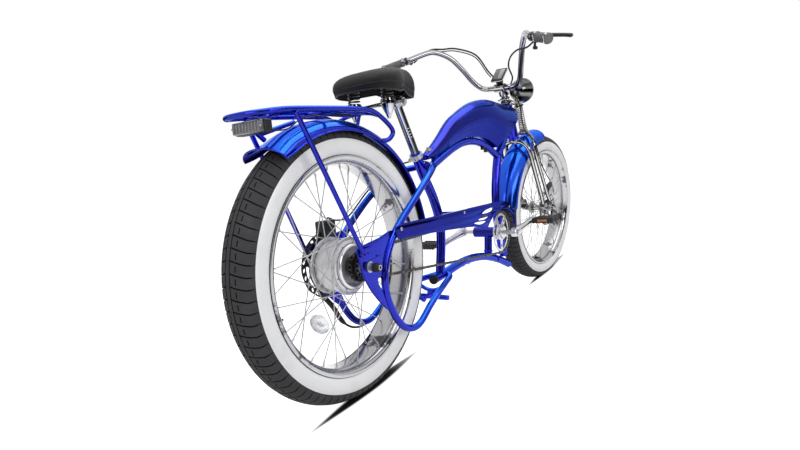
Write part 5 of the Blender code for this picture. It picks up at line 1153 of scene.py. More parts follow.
def tank_shell():
    dense = smooth([(x, t, b) for x, t, b, h in TANK], 6)
    widths = smooth([(x, h, 0) for x, t, b, h in TANK], 6)
    rows = []
    for (x, t, b), (_, w, _) in zip(dense, widths):
        h = t - b
        side = [(0, t + 0.001), (0.18 * w, t + 0.0006), (0.32 * w, t - 0.0004), (0.42 * w, t - 0.0036),
            (0.62 * w, t - 0.085 * h), (0.8 * w, t - 0.17 * h), (0.93 * w, t - 0.28 * h),
            (1.0 * w, t - 0.4 * h), (1.005 * w, t - 0.49 * h), (0.97 * w, b + 0.42 * h),
            (0.91 * w, b + 0.395 * h), (0.86 * w, b + 0.36 * h), (0.74 * w, b + 0.25 * h),
            (0.6 * w, b + 0.14 * h), (0.4 * w, b)]
        ring = side + [(-y, z) for y, z in reversed(side[1:])]
        rows.append([Vector((x, y, z)) for y, z in ring])
    n = len(rows[0])
    verts = [v for row in rows for v in row]
    faces = quads(len(rows), n, along=False)
    faces += [tuple(range(n)), tuple((len(rows) - 1) * n + j for j in reversed(range(n)))]
    ob = outward(coat(mesh_object("tank", verts, faces), DEEP))
    nose = flat_curve([(1.024, 0.65), (1.04, 0.68), (1.09, 0.722), (1.14, 0.757), (1.195, 0.788),
        (1.212, 0.812), (1.25, 0.825)], 6, closed=False)
    under = slab(nose + [(1.3, 0.825), (1.3, 0.6), (1.024, 0.6)], -0.1, 0.1, DEEP)
    return (cut(ob, under, rod(along(HEAD_LOW, -0.02), along(HEAD_TOP, 0.05), 0.0256, DEEP, 64, soft=0.01)),
        rows)


tank, rows = tank_shell()
LOCK = vec(4920, 0, 6680)
LOCK_UP = vec(-4700, 0, 8830).normalized()
seams = []
for s in (1, -1):
    fold = [row[10 if s > 0 else len(row) - 10] for row in rows[:-10]]
    seams.append(pipe(fold, 0.0016, DEEP, 10))
case = together(coat(tank, DEEP), *seams, collar(tenths([(74, -40), (120, -40), (124, -10), (110, 6), (74, 6)]),
    LOCK, LOCK_UP, CHROME, 40), block((0.535, 0, 0.639), (0.03, 0.016, 0.024), DEEP, soft=0.003))
show(case, "battery_case_smooth", "frame", "battery_tank", sharp=50.0)
key = LOCK_UP.to_track_quat("Z", "Y").to_matrix()
show(together(lathe(tenths([(0, -160), (64, -160), (69, -150), (69, 20), (60, 30), (0, 30)]), LOCK, LOCK_UP,
    STEEL, 40), block(LOCK + LOCK_UP * 0.006, (0.0096, 0.002, 0.007), STEEL, key, soft=0.0007)),
    "lock_with_key", "lock_body", "key_lock")

# Battery cells and motor controller inside the case
pack = []
for row, count in ((0, 12), (1, 9)):
    for i in range(count):
        x = 0.74 + 0.0215 * i + row * 0.032
        pack.append(lathe(tenths([(0, 0), (80, 0), (92, 12), (92, 480), (85, 500), (0, 500)]),
            (x, -0.025, 0.742 + row * 0.0215 + min(0.012, (x - 0.74) * 0.06)), (0, 1, 0), CELLS, 20))
pack.append(block((0.79, 0, 0.723), (0.06, 0.02, 0.018), CELLS, soft=0.002))
pack.append(block((0.86, 0, 0.73), (0.26, 0.042, 0.003), CELLS, soft=0.001))
show(together(*pack), "battery_cells", "frame", "battery_pack")
fins = [block((1.095, 0, 0.803), (0.09, 0.05, 0.034), CAST, soft=0.003),
    rod((1.095, 0, 0.818), (1.095, 0, 0.8551), 0.006, CAST)]
fins += [block((1.095, -0.024 + 0.006 * k, 0.803), (0.088, 0.002, 0.039), CAST, soft=0.0008) for k in range(9)]
show(together(*fins), "controller_with_fins", "frame", "motor_controller")


# Seat: clamp with its bolt, post, sprung frame
ACROSS = Vector((-SEAT_DOWN.z, 0, SEAT_DOWN.x)) * -1.0
collar_at = SEAT_TOP + SEAT_DOWN * 0.003
lug_turn = SEAT_DOWN.to_track_quat("Z", "Y").to_matrix()
bolt_at = collar_at + SEAT_DOWN * 0.008 + ACROSS * 0.026
clamp = [collar(sleeve(168, 220, 0, 160, 8, 10), collar_at, SEAT_DOWN, STEEL, 64)]
for y in (-0.0055, 0.0055):
    clamp.append(block(collar_at + SEAT_DOWN * 0.008 + ACROSS * 0.024 + aside(y), (0.014, 0.007, 0.014), STEEL,
        lug_turn, soft=0.0018))
clamp += [rod(bolt_at - aside(0.015), bolt_at + aside(0.015), 0.0036, STEEL),
    bolt_head(bolt_at - aside(0.01), (0, -1, 0), 0.006, 0.0055), nut(bolt_at + aside(0.01), (0, 1, 0), 0.0062,
    0.005)]
show(together(*clamp), "seat_clamp_with_bolt", "frame", "seat_clamp")
POST_TOP = SEAT_TOP - SEAT_DOWN * 0.174
marks = [lathe([(0.0136, -0.0006), (0.01385, 0), (0.0136, 0.0006)], SEAT_TOP - SEAT_DOWN * (0.06 + 0.01 * k),
    SEAT_DOWN, CHROME, 48) for k in range(4)]
show(together(rod(SEAT_TOP + SEAT_DOWN * 0.068, POST_TOP, 0.0136, CHROME, 48), *marks), "seat_post_smooth",
    "seat_post_body", "seat_post")
parts = [lathe(tenths([(138, 100), (172, 100), (180, 85), (180, -50), (172, -60), (0, -60)]), POST_TOP,
    SEAT_DOWN, STEEL, 48), lathe(sleeve(0, 140, -280, 280, 12, 15), POST_TOP + vec(0, 0, 20), (0, 1, 0), STEEL,
    48)]
for side in (-1, 1):
    parts.append(nut(POST_TOP + Vector((0, side * 0.028, 0.002)), (0, side, 0), 0.0085, 0.006))
    parts.append(pipe(smooth([(0.39, side * 0.006, 0.85), (0.37, side * 0.016, 0.836),
        (0.325, side * 0.023, 0.818), (0.27, side * 0.03, 0.808), (0.215, side * 0.05, 0.796),
        (0.19, side * 0.06, 0.793)], 6), 0.0036, CHROME, 16))
    parts.append(lathe(tenths([(0, 7560), (56, 7560), (66, 7572), (80, 7620), (205, 7890), (225, 7910),
        (228, 7945), (215, 7960), (200, 7970), (218, 7990), (218, 8010), (195, 8030), (195, 8050), (0, 8060)]),
        (0.19, side * 0.06, 0), (0, 0, 1), CHROME, 48))
    parts.append(nut((0.19, side * 0.06, 0.756), (0, 0, -1), 0.006, 0.0045))
parts.append(pipe(smooth(tenths([(3900, -60, 8500), (3920, 0, 8515), (3900, 60, 8500)]), 6), 0.0036, CHROME,
    16))
parts.append(rod((0.19, -0.06, 0.79), (0.19, 0.06, 0.79), 0.004, CHROME))
parts.append(rod((0.27, -0.03, 0.808), (0.27, 0.03, 0.808), 0.0034, CHROME))
show(together(*parts), "saddle_rails_and_cups", "seat_post_body", "saddle_frame")


def coil(base, direction, radius, wire, length, turns, paint):
    """A wound spring with flattened end turns."""
    d = Vector(direction).normalized()
    u = d.orthogonal().normalized()
    v = d.cross(u)
    count = int(turns * 28)
    path = []
    for i in range(count + 1):
        a = TAU * i / 28
        t = i / count
        ease = t - 0.035 * sin(TAU * t)
        path.append(Vector(base) + d * (wire + (length - 2 * wire) * ease) + u * (radius * cos(a)) + v * (radius
            * sin(a)))
    return pipe(path, wire, paint, 14)


for side in (-1, 1):
    word = hand(side)
    foot = Vector((0.19, side * 0.06, 0.8063))
    spring = show(coil(foot, (0, 0, 1), 0.0165, 0.0021, 0.0432, 5.0, BLACK), f"saddle_coil_{word}",
        "seat_post_body", f"saddle_spring_{word}")
    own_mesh(spring)

# Saddle: padded cushion over a shell, with a stitched seam, piping and a lower rim
OUTLINE = tenths([(4000, 0), (3960, 200), (3800, 310), (3450, 390), (2950, 540), (2500, 780), (2130, 960),
    (1760, 1010), (1430, 930), (1190, 710), (1080, 390), (1050, 0)])
TOPS = tenths([(990, 8560), (1130, 8680), (1350, 8780), (1700, 8870), (2200, 8970), (2900, 9090), (3600, 9170),
    (4000, 9130), (4260, 9030)])
SKIRT = tenths([(990, 8270), (1300, 8270), (1700, 8250), (2100, 8250), (2450, 8340), (2900, 8420), (3300, 8330),
    (3700, 8300), (4150, 8340), (4260, 8400)])


def read(table, x):
    return float(np.interp(x, [p[0] for p in table], [p[1] for p in table]))


def saddle_rings(levels):
    half = [(p.x, p.y) for p in smooth([(x, y, 0) for x, y in OUTLINE], 5)]
    ring = half + [(x, -y) for x, y in reversed(half[1:-1])]
    rows = []
    for scale, kind, drop in levels:
        row = []
        for x, y in ring:
            cx, cy = 0.21 + (x - 0.21) * min(scale, 1.01), y * scale
            low, top = read(SKIRT, cx), read(TOPS, cx)
            if kind == "under":
                z = max(0.851 + 0.14 * max(0.0, cx - 0.22), low + 0.008)
            else:
                z = low + (top - low) * drop
            row.append(Vector((cx, cy, z)))
        rows.append(row)
    return rows


LEVELS = [(0.78, "under", 0), (0.91, "under", 0), (0.93, "side", 0), (0.96, "side", -0.03), (0.978, "side", 0),
    (0.992, "side", 0.1), (1.004, "side", 0.24), (0.998, "side", 0.25), (1.012, "side", 0.28),
    (1.016, "side", 0.4), (1.004, "side", 0.54), (0.97, "side", 0.68), (0.915, "side", 0.79),
    (0.83, "top", 0.88), (0.7, "top", 0.945), (0.52, "top", 0.98), (0.28, "top", 0.998), (0.08, "top", 1.0)]
rows = saddle_rings(LEVELS)
n = len(rows[0])
verts = [v for row in rows for v in row]
faces = quads(len(rows), n, along=False)
for base in (0, (len(rows) - 1) * n):
    for j in range(n // 2):
        faces.append(tuple(dict.fromkeys((base + j, base + j + 1, base + (n - j - 1) % n, base + (n - j) % n))))
cushion = outward(coat(mesh_object("cushion", verts, faces), VINYL))
piping = pipe([v + vec(0, 0, 4) for v in rows[7]], 0.002, VINYL, 10, closed=True)
lip = pipe(rows[3], 0.0022, PLASTIC, 10, closed=True)
stitches = []
row = saddle_rings([(1.0155, "side", 0.33)])[0]
lengths = [0.0]
for a, b in zip(row, row[1:] + row[:1]):
    lengths.append(lengths[-1] + (b - a).length)
s = 0.0
while s < lengths[-1] - 0.003:
    pair = []
    for t in (s, s + 0.0026):
        k = int(np.searchsorted(lengths, t, "right")) - 1
        share = (t - lengths[k]) / (lengths[k + 1] - lengths[k])
        pair.append(row[k].lerp(row[(k + 1) % n], share))
    stitches.append(pipe(pair, 0.0006, THREAD, 6))
    s += 0.0042
seat = show(together(cushion, piping, lip, *stitches), "saddle_cushion", "saddle_body", "saddle", sharp=60.0)

# Sprung fork
LEG_Y = 0.0745
PIVOT, LINK, YOKE = vec(14520, 0, 3880), vec(15320, 0, 3950), vec(13870, 0, 7420)
CROWN = steer_point(0.7)
SEAT_LOW, SEAT_HIGH = YOKE + STEER_AXIS * 0.0125, YOKE + STEER_AXIS * 0.133
half = [(1.449, -LEG_Y, 0.397), (1.425, -LEG_Y, 0.44), (1.365, -LEG_Y, 0.535), (1.31, -LEG_Y, 0.625),
    (1.296, -0.072, 0.656), (1.29, -0.06, 0.678), (1.289, -0.036, 0.694), (1.2893, 0, 0.7)]
path = smooth(mirrored(half), 8)
fork = [pipe(path, 0.01, CHROME, 32), rod(along(CROWN, -0.008), steer_point(0.919), 0.0142, CHROME, 40),
    collar(tenths([(142, -40), (200, -40), (235, -10), (240, 14), (142, 14)]), along(CROWN, 0.002), STEER_AXIS,
    CHROME, 48), collar(tenths([(144, 0), (210, 0), (225, 16), (225, 40), (210, 52), (144, 52)]),
    steer_point(0.8718), STEER_AXIS, CHROME, 48), collar(sleeve(144, 208, 0, 90, 10, 10), steer_point(0.885),
    STEER_AXIS, CHROME, 6)]
for side in (-1, 1):
    fork.append(collar(sleeve(51, 126, -100, 100, 10, 12), PIVOT + aside(side * 0.075), (0, 1, 0), CHROME, 40))
back, tip = vec(11800, 0, 8800), vec(13450, 0, 8690)
tilt = (tip - back).normalized()
upward = tilt.cross(aside(1))
shape = flat_curve(tenths([(-120, 0), (-60, 220), (120, 275), (500, 200), (1100, 165), (1600, 165), (1760, 100),
    (1810, 0), (1760, -100), (1600, -165), (1100, -165), (500, -200), (120, -275), (-60, -220)]), 5)
top = slab(shape, -0.003, 0.003, CHROME, soft=0.0012)
place = Matrix((tilt, aside(1), upward)).transposed().to_4x4()
place.translation = back
top.data.transform(place @ Matrix.Rotation(-pi / 2, 4, "X") @ Matrix.Scale(-1, 4, (0, 1, 0)))
top.data.flip_normals()
fork += [top, rod(SEAT_HIGH, SEAT_HIGH + STEER_AXIS * 0.025, 0.0088, CHROME),
    lathe(tenths([(0, 0), (205, 0), (215, 10), (215, 34), (180, 46), (0, 46)]), SEAT_HIGH, STEER_AXIS, CHROME,
    48)]
show(together(*fork), "main_fork_smooth", "steering_body", "springer_fork")
guard_dir = (CROWN - FRONT).normalized()
# The mudguard sheet takes the lighter candy copy as painted light; its stay keeps the plain candy
show(together(fender(FRONT, 175.0, 99.0, 0.396, flare=False, paint=LIT_AZURE),
    rod(FRONT + guard_dir * 0.3945, CROWN - guard_dir * 0.0105, 0.007, CANDY),
    bolt_head(FRONT + guard_dir * 0.389, -guard_dir, 0.006, 0.004)), "front_mudguard", "steering_body",
    "front_fender")
half = [(1.529, -LEG_Y, 0.402), (1.5, -LEG_Y, 0.433), (1.445, -LEG_Y, 0.512), (1.386, -LEG_Y, 0.596),
    (1.356, -LEG_Y, 0.645), (1.348, -0.07, 0.685), (1.356, -0.056, 0.712), (1.374, -0.028, 0.735),
    (1.387, 0, 0.742)]
legs = [pipe(smooth(mirrored(half), 8), 0.0088, CHROME, 32), lathe(tenths([(0, -60), (160, -40), (195, 0),
    (205, 40), (205, 110), (195, 125), (0, 125)]), YOKE, STEER_AXIS, CHROME, 48)]
for side in (-1, 1):
    legs.append(collar(sleeve(68, 116, -98, 98, 10, 10), LINK + aside(side * 0.075), (0, 1, 0), CHROME, 40))
show(together(*legs), "front_legs_smooth", "front_legs_body", "fork_front_legs")
spring = show(coil(SEAT_LOW + STEER_AXIS * 0.0006, STEER_AXIS, 0.016, 0.0024,
    (SEAT_HIGH - SEAT_LOW).length - 0.0022, 13.0, CHROME), "fork_coil", "steering_body", "fork_spring")
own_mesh(spring)

rockers = [rod(FRONT + aside(-0.09), FRONT + aside(0.09), 0.0074, STEEL)]
for side in (-1, 1):
    y0, y1 = sorted((side * 0.0588, side * 0.0642))
    hull = []
    for cx, cz, r, a0, a1 in ((PIVOT.x, PIVOT.z, 0.014, 80, 265), (FRONT.x, FRONT.z, 0.017, 255, 405),
            (LINK.x, LINK.z, 0.013, 50, 100)):
        hull += circle(cx, cz, r, 12, radians(a0), radians(a1))
    rockers.append(slab(hull, y0, y1, CHROME, soft=0.0012))
    for at in (PIVOT, LINK):
        rockers.append(rod(at + aside(side * 0.06), at + aside(side * 0.088), 0.0049, STEEL))
        rockers.append(bolt_head(at + aside(side * 0.0862), (0, side, 0), 0.0092, 0.005))
    rockers.append(nut(FRONT + aside(side * 0.0655), (0, side, 0), 0.0125, 0.009))
    rockers.append(lathe(tenths([(0, 0), (160, 0), (160, 14), (0, 20)]), FRONT + aside(side * 0.064),
        (0, side, 0), STEEL, 36))
tab = slab(flat_curve([(1.545, 0.375), (1.59, 0.41), (1.61, 0.445), (1.585, 0.47), (1.55, 0.45), (1.535, 0.4)],
    5), -0.064, -0.059, STEEL, [circle(1.57, 0.43, 0.007)])
show(together(*rockers, tab), "link_arms_and_axle", "rocker_body", "rocker_link")
hub = tenths([(76, -545), (195, -545), (205, -540), (205, -510), (290, -510), (300, -500), (300, -460),
    (250, -448), (178, -400), (172, -345), (180, -335), (180, -262), (150, -200), (146, 0), (150, 200),
    (180, 262), (180, 335), (172, 345), (172, 430), (150, 515), (140, 520), (76, 520)])
show(together(collar(hub, FRONT, (0, 1, 0), CHROME, 72)), "front_hub_smooth", "front_wheel", "front_hub")
turn = Matrix.Rotation(radians(-20), 3, "Y")
jaw = cut(block((1.58, -0.049, 0.46), (0.056, 0.019, 0.056), BLACK, turn, soft=0.005),
    rod(FRONT + aside(-0.0553), FRONT + aside(-0.0497), 0.093, BLACK, 64))
show(together(coat(jaw, BLACK), lathe(tenths([(0, 0), (130, 0), (140, 10), (140, 26), (0, 36)]),
    (1.58, -0.058, 0.464), (0, -1, 0), BLACK, 36), bolt_head((1.564, -0.0585, 0.44), (0, -1, 0), 0.0045,
    0.0035), bolt_head((1.6, -0.0585, 0.456), (0, -1, 0), 0.0045, 0.0035)), "front_brake_jaws", "rocker_body",
    "front_brake_caliper")


# Stem, handlebar and controls
BAR_AT = vec(11520, 0, 9300)
GRIP_IN, GRIP_END = vec(8620, 2810, 10520), vec(8050, 3700, 10210)
GRIP_DIR = (GRIP_END - GRIP_IN).normalized()
stem = [lathe(tenths([(146, 0), (200, 0), (210, 12), (210, 220), (200, 238), (120, 262), (0, 265)]),
    steer_point(0.902), STEER_AXIS, CHROME, 56), bolt_head(steer_point(0.9255), STEER_AXIS, 0.006, 0.003),
    pipe([steer_point(0.9225), along(BAR_AT, -0.004) + AHEAD * 0.008], 0.015, CHROME, 36),
    collar(sleeve(120, 180, -250, 250, 10, 12), BAR_AT, (0, 1, 0), CHROME, 48)]
for y in (-0.015, 0.015):
    stem.append(bolt_head(BAR_AT + Vector((-0.0165, y, 0.002)), (-1, 0, 0.1), 0.0046, 0.004))
show(together(*stem), "stem_clamp", "steering_body", "stem")

half_bar = [GRIP_END, GRIP_IN + GRIP_DIR * 0.03, GRIP_IN + GRIP_DIR * 0.006, GRIP_IN - GRIP_DIR * 0.01,
    (0.93, 0.228, 1.082), (0.967, 0.204, 1.084), (1.02, 0.17, 1.062), (1.07, 0.141, 1.016),
    (1.115, 0.115, 0.966), (1.145, 0.09, 0.939), (1.153, 0.062, 0.931), (1.152, 0.042, 0.93),
    (1.152, 0.03, 0.93), (1.152, 0, 0.93)]
path = smooth([sided(p, -1) for p in half_bar] + [sided(p, 1) for p in reversed(half_bar[:-1])], 8)
bar = [pipe(path, 0.0115, CHROME, 32)]
for side in (-1, 1):
    word = hand(side)
    d = sided(GRIP_DIR, side)
    at_bar = sided(GRIP_IN, side) + d * 0.008
    pivot = Vector((0.905, side * 0.3, 1.056))
    lift = d.cross(pivot - at_bar).normalized()
    lift = -lift if lift.z < 0 else lift
    bar += [collar(sleeve(116, 160, -70, 70, 8, 10), at_bar, d, BLACK, 40),
        pipe([at_bar, at_bar.lerp(pivot, 0.5), pivot - lift * 0.0085], 0.006, BLACK, 20,
        scales=[1.15, 1.0, 1.25]), lathe(tenths([(0, -100), (92, -100), (100, -90), (100, -12), (92, -3),
        (0, -3)]), pivot, lift, BLACK, 36), rod(pivot - lift * 0.005, pivot + lift * 0.0075, 0.0029, STEEL),
        bolt_head(pivot + lift * 0.0066, lift, 0.0048, 0.002), bolt_head(at_bar - (pivot - at_bar).normalized()
        * 0.014, at_bar - pivot, 0.0036, 0.004)]
    tip = Vector((0.905, side * 0.415, 1.038))
    line = smooth([pivot + lift * 0.0032, pivot.lerp(tip, 0.12) + lift * 0.0034 - d * 0.001,
        pivot.lerp(tip, 0.35) + lift * 0.0032 + vec(30, 0, 0), pivot.lerp(tip, 0.75) + lift * 0.002 + vec(10, 0,
        0), tip], 7)
    sizes = list(np.interp(np.linspace(0, 1, len(line)), [0, 0.08, 0.3, 0.75, 0.93, 1.0],
        [0.55, 0.85, 1.0, 0.95, 1.0, 0.9]))
    show(together(pipe(line, 0.007, BLACK, 24, scales=sizes, round_end=0.5),
        collar(sleeve(31, 90, 0, 64, 6, 8), pivot, lift, BLACK, 36)), f"lever_blade_{word}",
        f"{word}_lever_body", f"brake_lever_{word}")
    end = sided(GRIP_END, side) + d * 0.005
    start = sided(GRIP_IN, side) + d * (0.034 if side < 0 else 0.018)
    length = (end - start).length
    profile = tenths([(118, 0), (168, 0), (178, 12), (178, 42), (165, 52)])
    rings = int((length - 0.014) / 0.004)
    for k in range(rings):
        h = 0.006 + 0.004 * k
        profile += [(0.0152, h), (0.0152, h + 0.0009), (0.0166, h + 0.0016), (0.0166, h + 0.003)]
    profile += [(0.016, length - 0.006), (0.0172, length - 0.005), (0.0174, length - 0.002), (0.016, length),
        (0, length)]
    bands = [collar([(0.0172, h), (0.0186, h + 0.0008), (0.0186, h + 0.0074), (0.0172, h + 0.0082)], start,
        end - start, CHROME, 48) for h in (0, length - 0.014)]
    cap = [lathe([(0, length - 0.0012), (0.012, length - 0.001), (0.0168, length - 0.0026),
        (0.0176, length - 0.006), (0, length - 0.007)], start, end - start, CHROME, 10)]
    show(together(lathe(profile, start, end - start, GRIP, 48), *bands, *cap), f"ribbed_grip_{word}",
        "steering_body", f"grip_{word}")
show(together(*bar), "handlebar_smooth", "steering_body", "handlebar")

d = sided(GRIP_DIR, -1)
THROTTLE = sided(GRIP_IN, -1) + d * 0.0245
down = vec(20, 0, -360)
show(together(collar(sleeve(118, 165, -70, 70, 10, 12), THROTTLE, d, PLASTIC, 40),
    pipe([THROTTLE + down * 0.34, THROTTLE + down * 0.6, THROTTLE + down * 0.8, THROTTLE + down], 0.0044,
    PLASTIC, 20, scales=[1.3, 1.0, 1.0, 1.1]), block(THROTTLE + down + vec(20, 0, 0), (0.02, 0.012, 0.011),
    PLASTIC, soft=0.0036), *[block(THROTTLE + down + Vector((-0.004 + 0.004 * k, -0.006, 0)),
    (0.0016, 0.0012, 0.008), PLASTIC, soft=0.0004) for k in range(4)]), "thumb_lever", "throttle_body",
    "thumb_throttle")

tilt = Matrix.Rotation(radians(-46), 3, "Y")
at = vec(11450, 0, 9830)
case = [block(at, (0.078, 0.054, 0.013), PLASTIC, tilt, soft=0.0045), block(at + tilt @ vec(0, 0, 58),
    (0.062, 0.044, 0.002), SCREEN, tilt, soft=0.0008), block(at + tilt @ vec(0, 0, -10), (0.079, 0.055, 0.004),
    TURNED, tilt, soft=0.0015), block((1.148, 0, 0.964), (0.017, 0.028, 0.033), PLASTIC, soft=0.003)]
case += [block(at + tilt @ Vector((-0.0358, -0.015 + 0.015 * k, 0.0052)), (0.004, 0.009, 0.003), RUBBER, tilt,
    soft=0.001) for k in range(3)]
show(together(*case), "display_unit", "steering_body", "display")

lamp_at = vec(13500, 0, 9340)
lamp_dir = Vector((1, 0, 0.05))
lamp = [lathe(tenths([(0, -560), (100, -550), (230, -505), (340, -425), (420, -330), (480, -180), (520, -50),
    (540, 30), (548, 50), (562, 70), (566, 110), (566, 190), (552, 220), (510, 230), (500, 190), (440, 0),
    (200, -140), (0, -160)]), lamp_at, lamp_dir, DARK_CHROME, 96), lathe(tenths([(0, 280), (200, 268),
    (380, 236), (500, 195), (500, 175), (0, 255)]), lamp_at, lamp_dir, GLASS, 72),
    lathe(tenths([(0, -40), (60, -60), (80, -120), (0, -140)]), lamp_at, lamp_dir, GLASS, 24),
    rod(SEAT_HIGH + STEER_AXIS * 0.0254, SEAT_HIGH + STEER_AXIS * 0.05, 0.0085, CHROME),
    nut(SEAT_HIGH + STEER_AXIS * 0.03, STEER_AXIS, 0.012, 0.006, CHROME)]
show(together(*lamp), "round_headlamp", "steering_body", "headlight")

leads = [smooth([(0.902, 0.28, 1.048), (0.92, 0.24, 1.08), (0.948, 0.216, 1.0975), (0.99, 0.188, 1.1),
    (1.04, 0.152, 1.103), (1.1, 0.09, 1.075), (1.15, 0.055, 1.005), (1.19, 0.02, 0.956), (1.2074, 0, 0.9347)],
    8), smooth(tenths([(9020, -2800, 10480), (9450, -2250, 10350), (9850, -1650, 10400), (10450, -1050, 10300),
    (11050, -660, 10050), (11750, -480, 9700), (12080, -180, 9440), (12074, 0, 9347)]), 8),
    smooth(tenths([(12074, 0, 9347), (12350, -280, 9050), (12550, -450, 8500), (12620, -520, 7900),
    (12700, -620, 7450), (12900, -780, 7200), (13180, -885, 6950), (13520, -890, 6480), (13970, -890, 5850),
    (14520, -880, 5400), (15100, -800, 5080), (15450, -680, 4970)]), 8)]
cables = [pipe(line, size, RUBBER, 14) for line, size in zip(leads, (0.0034, 0.0034, 0.0026))]
cables.append(pipe([p + vec(40, 60, -80) for p in leads[0][14:-14]], 0.0022, RUBBER, 12))
cables.append(lathe(sleeve(0, 64, 0, 250, 9, 15), (1.1974, 0, 0.9417), (0.021, 0, -0.015), RUBBER, 24))
for at, way in (((1.318, -0.0885, 0.695), (0.5, 0, -0.8)), ((1.397, -0.089, 0.585), (0.55, 0, -0.8))):
    cables.append(collar(tenths([(27, -25), (45, -25), (45, 25), (27, 25)]), at, way, PLASTIC, 20))
show(together(*cables), "cables_and_front_hose", "steering_body", "control_cables")

# Inner tubes stay as they are inside the tyres
for name in ("rear_inner_tube", "front_inner_tube"):
    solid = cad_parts[name]
    solid.data.materials.clear()
    solid.data.materials.append(RUBBER.material)

# Camera at the viewer's place; FOCAL and DROP are in the photograph's pixels, like PHOTO_WIDE
YAW, PITCH, ROLL = 0.96448, -0.15957, 0.08182
PHOTO_WIDE, FOCAL, DROP = 800, 495.89, 28.12
SENSOR = 36.0
facing = Vector((sin(YAW) * cos(PITCH), cos(YAW) * cos(PITCH), sin(PITCH)))
level = Vector((cos(YAW), -sin(YAW), 0))
over = level.cross(facing)
right = level * cos(ROLL) - over * sin(ROLL)
up = level * sin(ROLL) + over * cos(ROLL)
camera = linked("camera", bpy.data.cameras.new("camera"))
pose = Matrix((right, up, -facing)).transposed().to_4x4()
pose.translation = Vector((-0.99046, -0.87755, 0.59785)) + SHIFT
camera.matrix_world = pose
camera.data.sensor_width = SENSOR
camera.data.lens = FOCAL / PHOTO_WIDE * SENSOR
camera.data.shift_y = DROP / PHOTO_WIDE
camera.data.clip_start = 0.02
bpy.context.scene.camera = camera

# White floor with a painted shadow streak beside each tyre, deepened by ambient occlusion from the bicycle, and
# a white surrounding for the viewer
def seen(tree):
    """1 for what the viewer sees, straight on or in metal and glass."""
    path = tree.nodes.new("ShaderNodeLightPath")
    total = path.outputs["Is Camera Ray"]
    for kind in ("Is Glossy Ray", "Is Transmission Ray"):
        plus = tree.nodes.new("ShaderNodeMath")
        plus.operation = "MAXIMUM"
        tree.links.new(total, plus.inputs[0])
        tree.links.new(path.outputs[kind], plus.inputs[1])
        total = plus.outputs[0]
    return total


floor_paint = Paint("white_floor", "floor", roughness=0.9, specular_ior_level=0.1)
del floor_paint.material["slot"]
spot = floor_paint.node("ShaderNodeSeparateXYZ", {}, (floor_paint.where,), 0)
across = Value(floor_paint, spot.socket.node.outputs["Y"])
open_air = floor_paint.node("ShaderNodeAmbientOcclusion", {"samples": 16}, {"Distance": 0.14}, "AO").step(0.5,
    0.93)
# Painted shadow streak on the floor beside each tyre: its place and half its length
SHADOW_STREAKS = ((REAR.x + SHIFT.x + 0.06, SHIFT.y - 0.016, 0.33), (FRONT.x + SHIFT.x + 0.22, SHIFT.y + 0.01, 0.54))
under = spot * 0.0
for x, y, half in SHADOW_STREAKS:
    reach = spot.maths("ABSOLUTE", (spot - x) / half)
    width = across.maths("ABSOLUTE", (across - y - (spot - x) * 0.09) / 0.028)
    lens = (1.0 - reach ** 1.6 - width).step(0.0, 0.45)
    under = under.maths("MAXIMUM", under, lens)
# Painted shadow: the floor's colour and glow go dark inside the streaks, deepest where ambient occlusion finds
# the tyre near
clear = 1.0 - under * (1.0 - open_air * 0.3)
shown = Value(floor_paint, seen(floor_paint.tree))
floor_paint.feed("Base Color", floor_paint.mix(clear, (0.01, 0.01, 0.01), (0.45, 0.45, 0.45)))
floor_paint.feed("Emission Color", floor_paint.mix(clear * shown, (0, 0, 0), (1.0, 1.0, 1.0)))
floor_paint.fix(emission_strength=1.0)
floor = mesh_object("floor", [(-30, -30, 0), (30, -30, 0), (30, 30, 0), (-30, 30, 0)], [(0, 1, 2, 3)])
coat(floor, floor_paint)

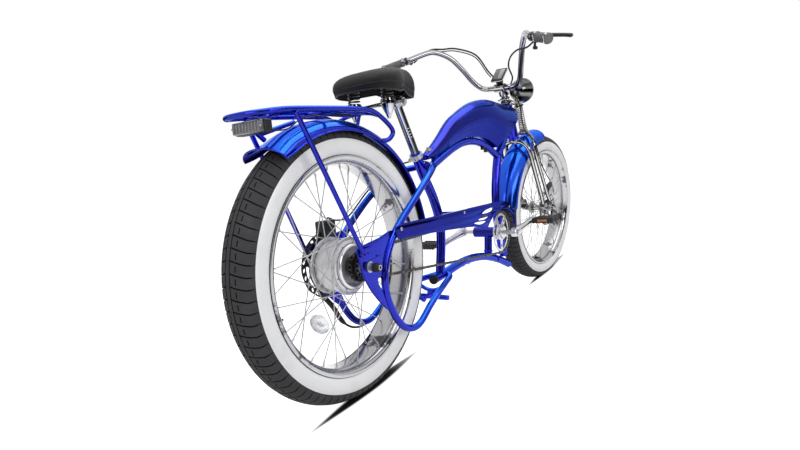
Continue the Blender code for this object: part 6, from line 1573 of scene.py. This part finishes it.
world = bpy.data.worlds.new("studio")
world.use_nodes = True
bpy.context.scene.world = world
tree = world.node_tree
back = tree.nodes["Background"]
where = tree.nodes.new("ShaderNodeTexCoord")
split = tree.nodes.new("ShaderNodeSeparateXYZ")
ramp = tree.nodes.new("ShaderNodeValToRGB")
tree.links.new(where.outputs["Generated"], split.inputs[0])
tree.links.new(split.outputs["Z"], ramp.inputs["Fac"])
ramp.color_ramp.elements[0].position = 0.0
ramp.color_ramp.elements[0].color = (0.28, 0.28, 0.29, 1)
ramp.color_ramp.elements[1].position = 0.75
ramp.color_ramp.elements[1].color = (0.95, 0.96, 1.0, 1)
white = tree.nodes.new("ShaderNodeBackground")
white.inputs["Color"].default_value = (1, 1, 1, 1)
white.inputs["Strength"].default_value = 1.0
blend = tree.nodes.new("ShaderNodeMixShader")
tree.links.new(ramp.outputs["Color"], back.inputs["Color"])
back.inputs["Strength"].default_value = 0.6
tree.links.new(seen(tree), blend.inputs[0])
tree.links.new(back.outputs[0], blend.inputs[1])
tree.links.new(white.outputs[0], blend.inputs[2])
tree.links.new(blend.outputs[0], tree.nodes["World Output"].inputs["Surface"])

# Dark cards round the bicycle, outside the view, draw the edges of chrome and lacquer
card_paint = Paint("dark_card", "card", roughness=0.9, specular_ior_level=0.1)
del card_paint.material["slot"]
card_paint.feed("Base Color", card_paint.mix(card_paint.clouds(2.0), (0.01, 0.01, 0.012), (0.02, 0.02, 0.022)))
for name, x, y, turn, width, high in (("right_card", 0.6, -3.4, 0, 4.2, 1.35),
        ("left_card", 0, 3.2, 0, 5.0, 1.3), ("viewer_card", -3.0, -2.4, -52.0, 2.8, 1.9),
        ("rear_card", -4.2, 0.6, 90.0, 2.4, 1.5), ("front_card", 4.0, 0.3, 90.0, 3.4, 1.4)):
    half_x, half_y = (f(radians(turn)) * width / 2 for f in (cos, sin))
    card = mesh_object(name, [(x - half_x, y - half_y, 0.01), (x + half_x, y + half_y, 0.01),
        (x + half_x, y + half_y, high), (x - half_x, y - half_y, high)], [(0, 1, 2, 3)])
    coat(card, card_paint)
    card.visible_camera = False
    card.visible_shadow = False
    card.visible_diffuse = False


def lamp_panel(name, place, aim, size, power):
    data = bpy.data.lights.new(name, "AREA")
    data.shape = "RECTANGLE"
    data.size, data.size_y = size
    data.energy = power
    ob = linked(name, data)
    ob.matrix_world = Matrix.Translation(place) @ (Vector(aim) - Vector(place)).to_track_quat("-Z",
        "Y").to_matrix().to_4x4()
    return ob


lamp_panel("overhead_panel", (0, -0.3, 3.0), (0, 0, 0.4), (4.0, 2.5), 60.0)
lamp_panel("right_panel", (-1.0, -3.4, 1.6), (0, 0, 0.5), (2.5, 1.6), 45.0)
lamp_panel("rear_panel", (-3.6, 0.2, 1.4), (-0.6, 0, 0.5), (1.6, 1.6), 22.0)
bpy.context.scene.view_settings.view_transform = "Standard"
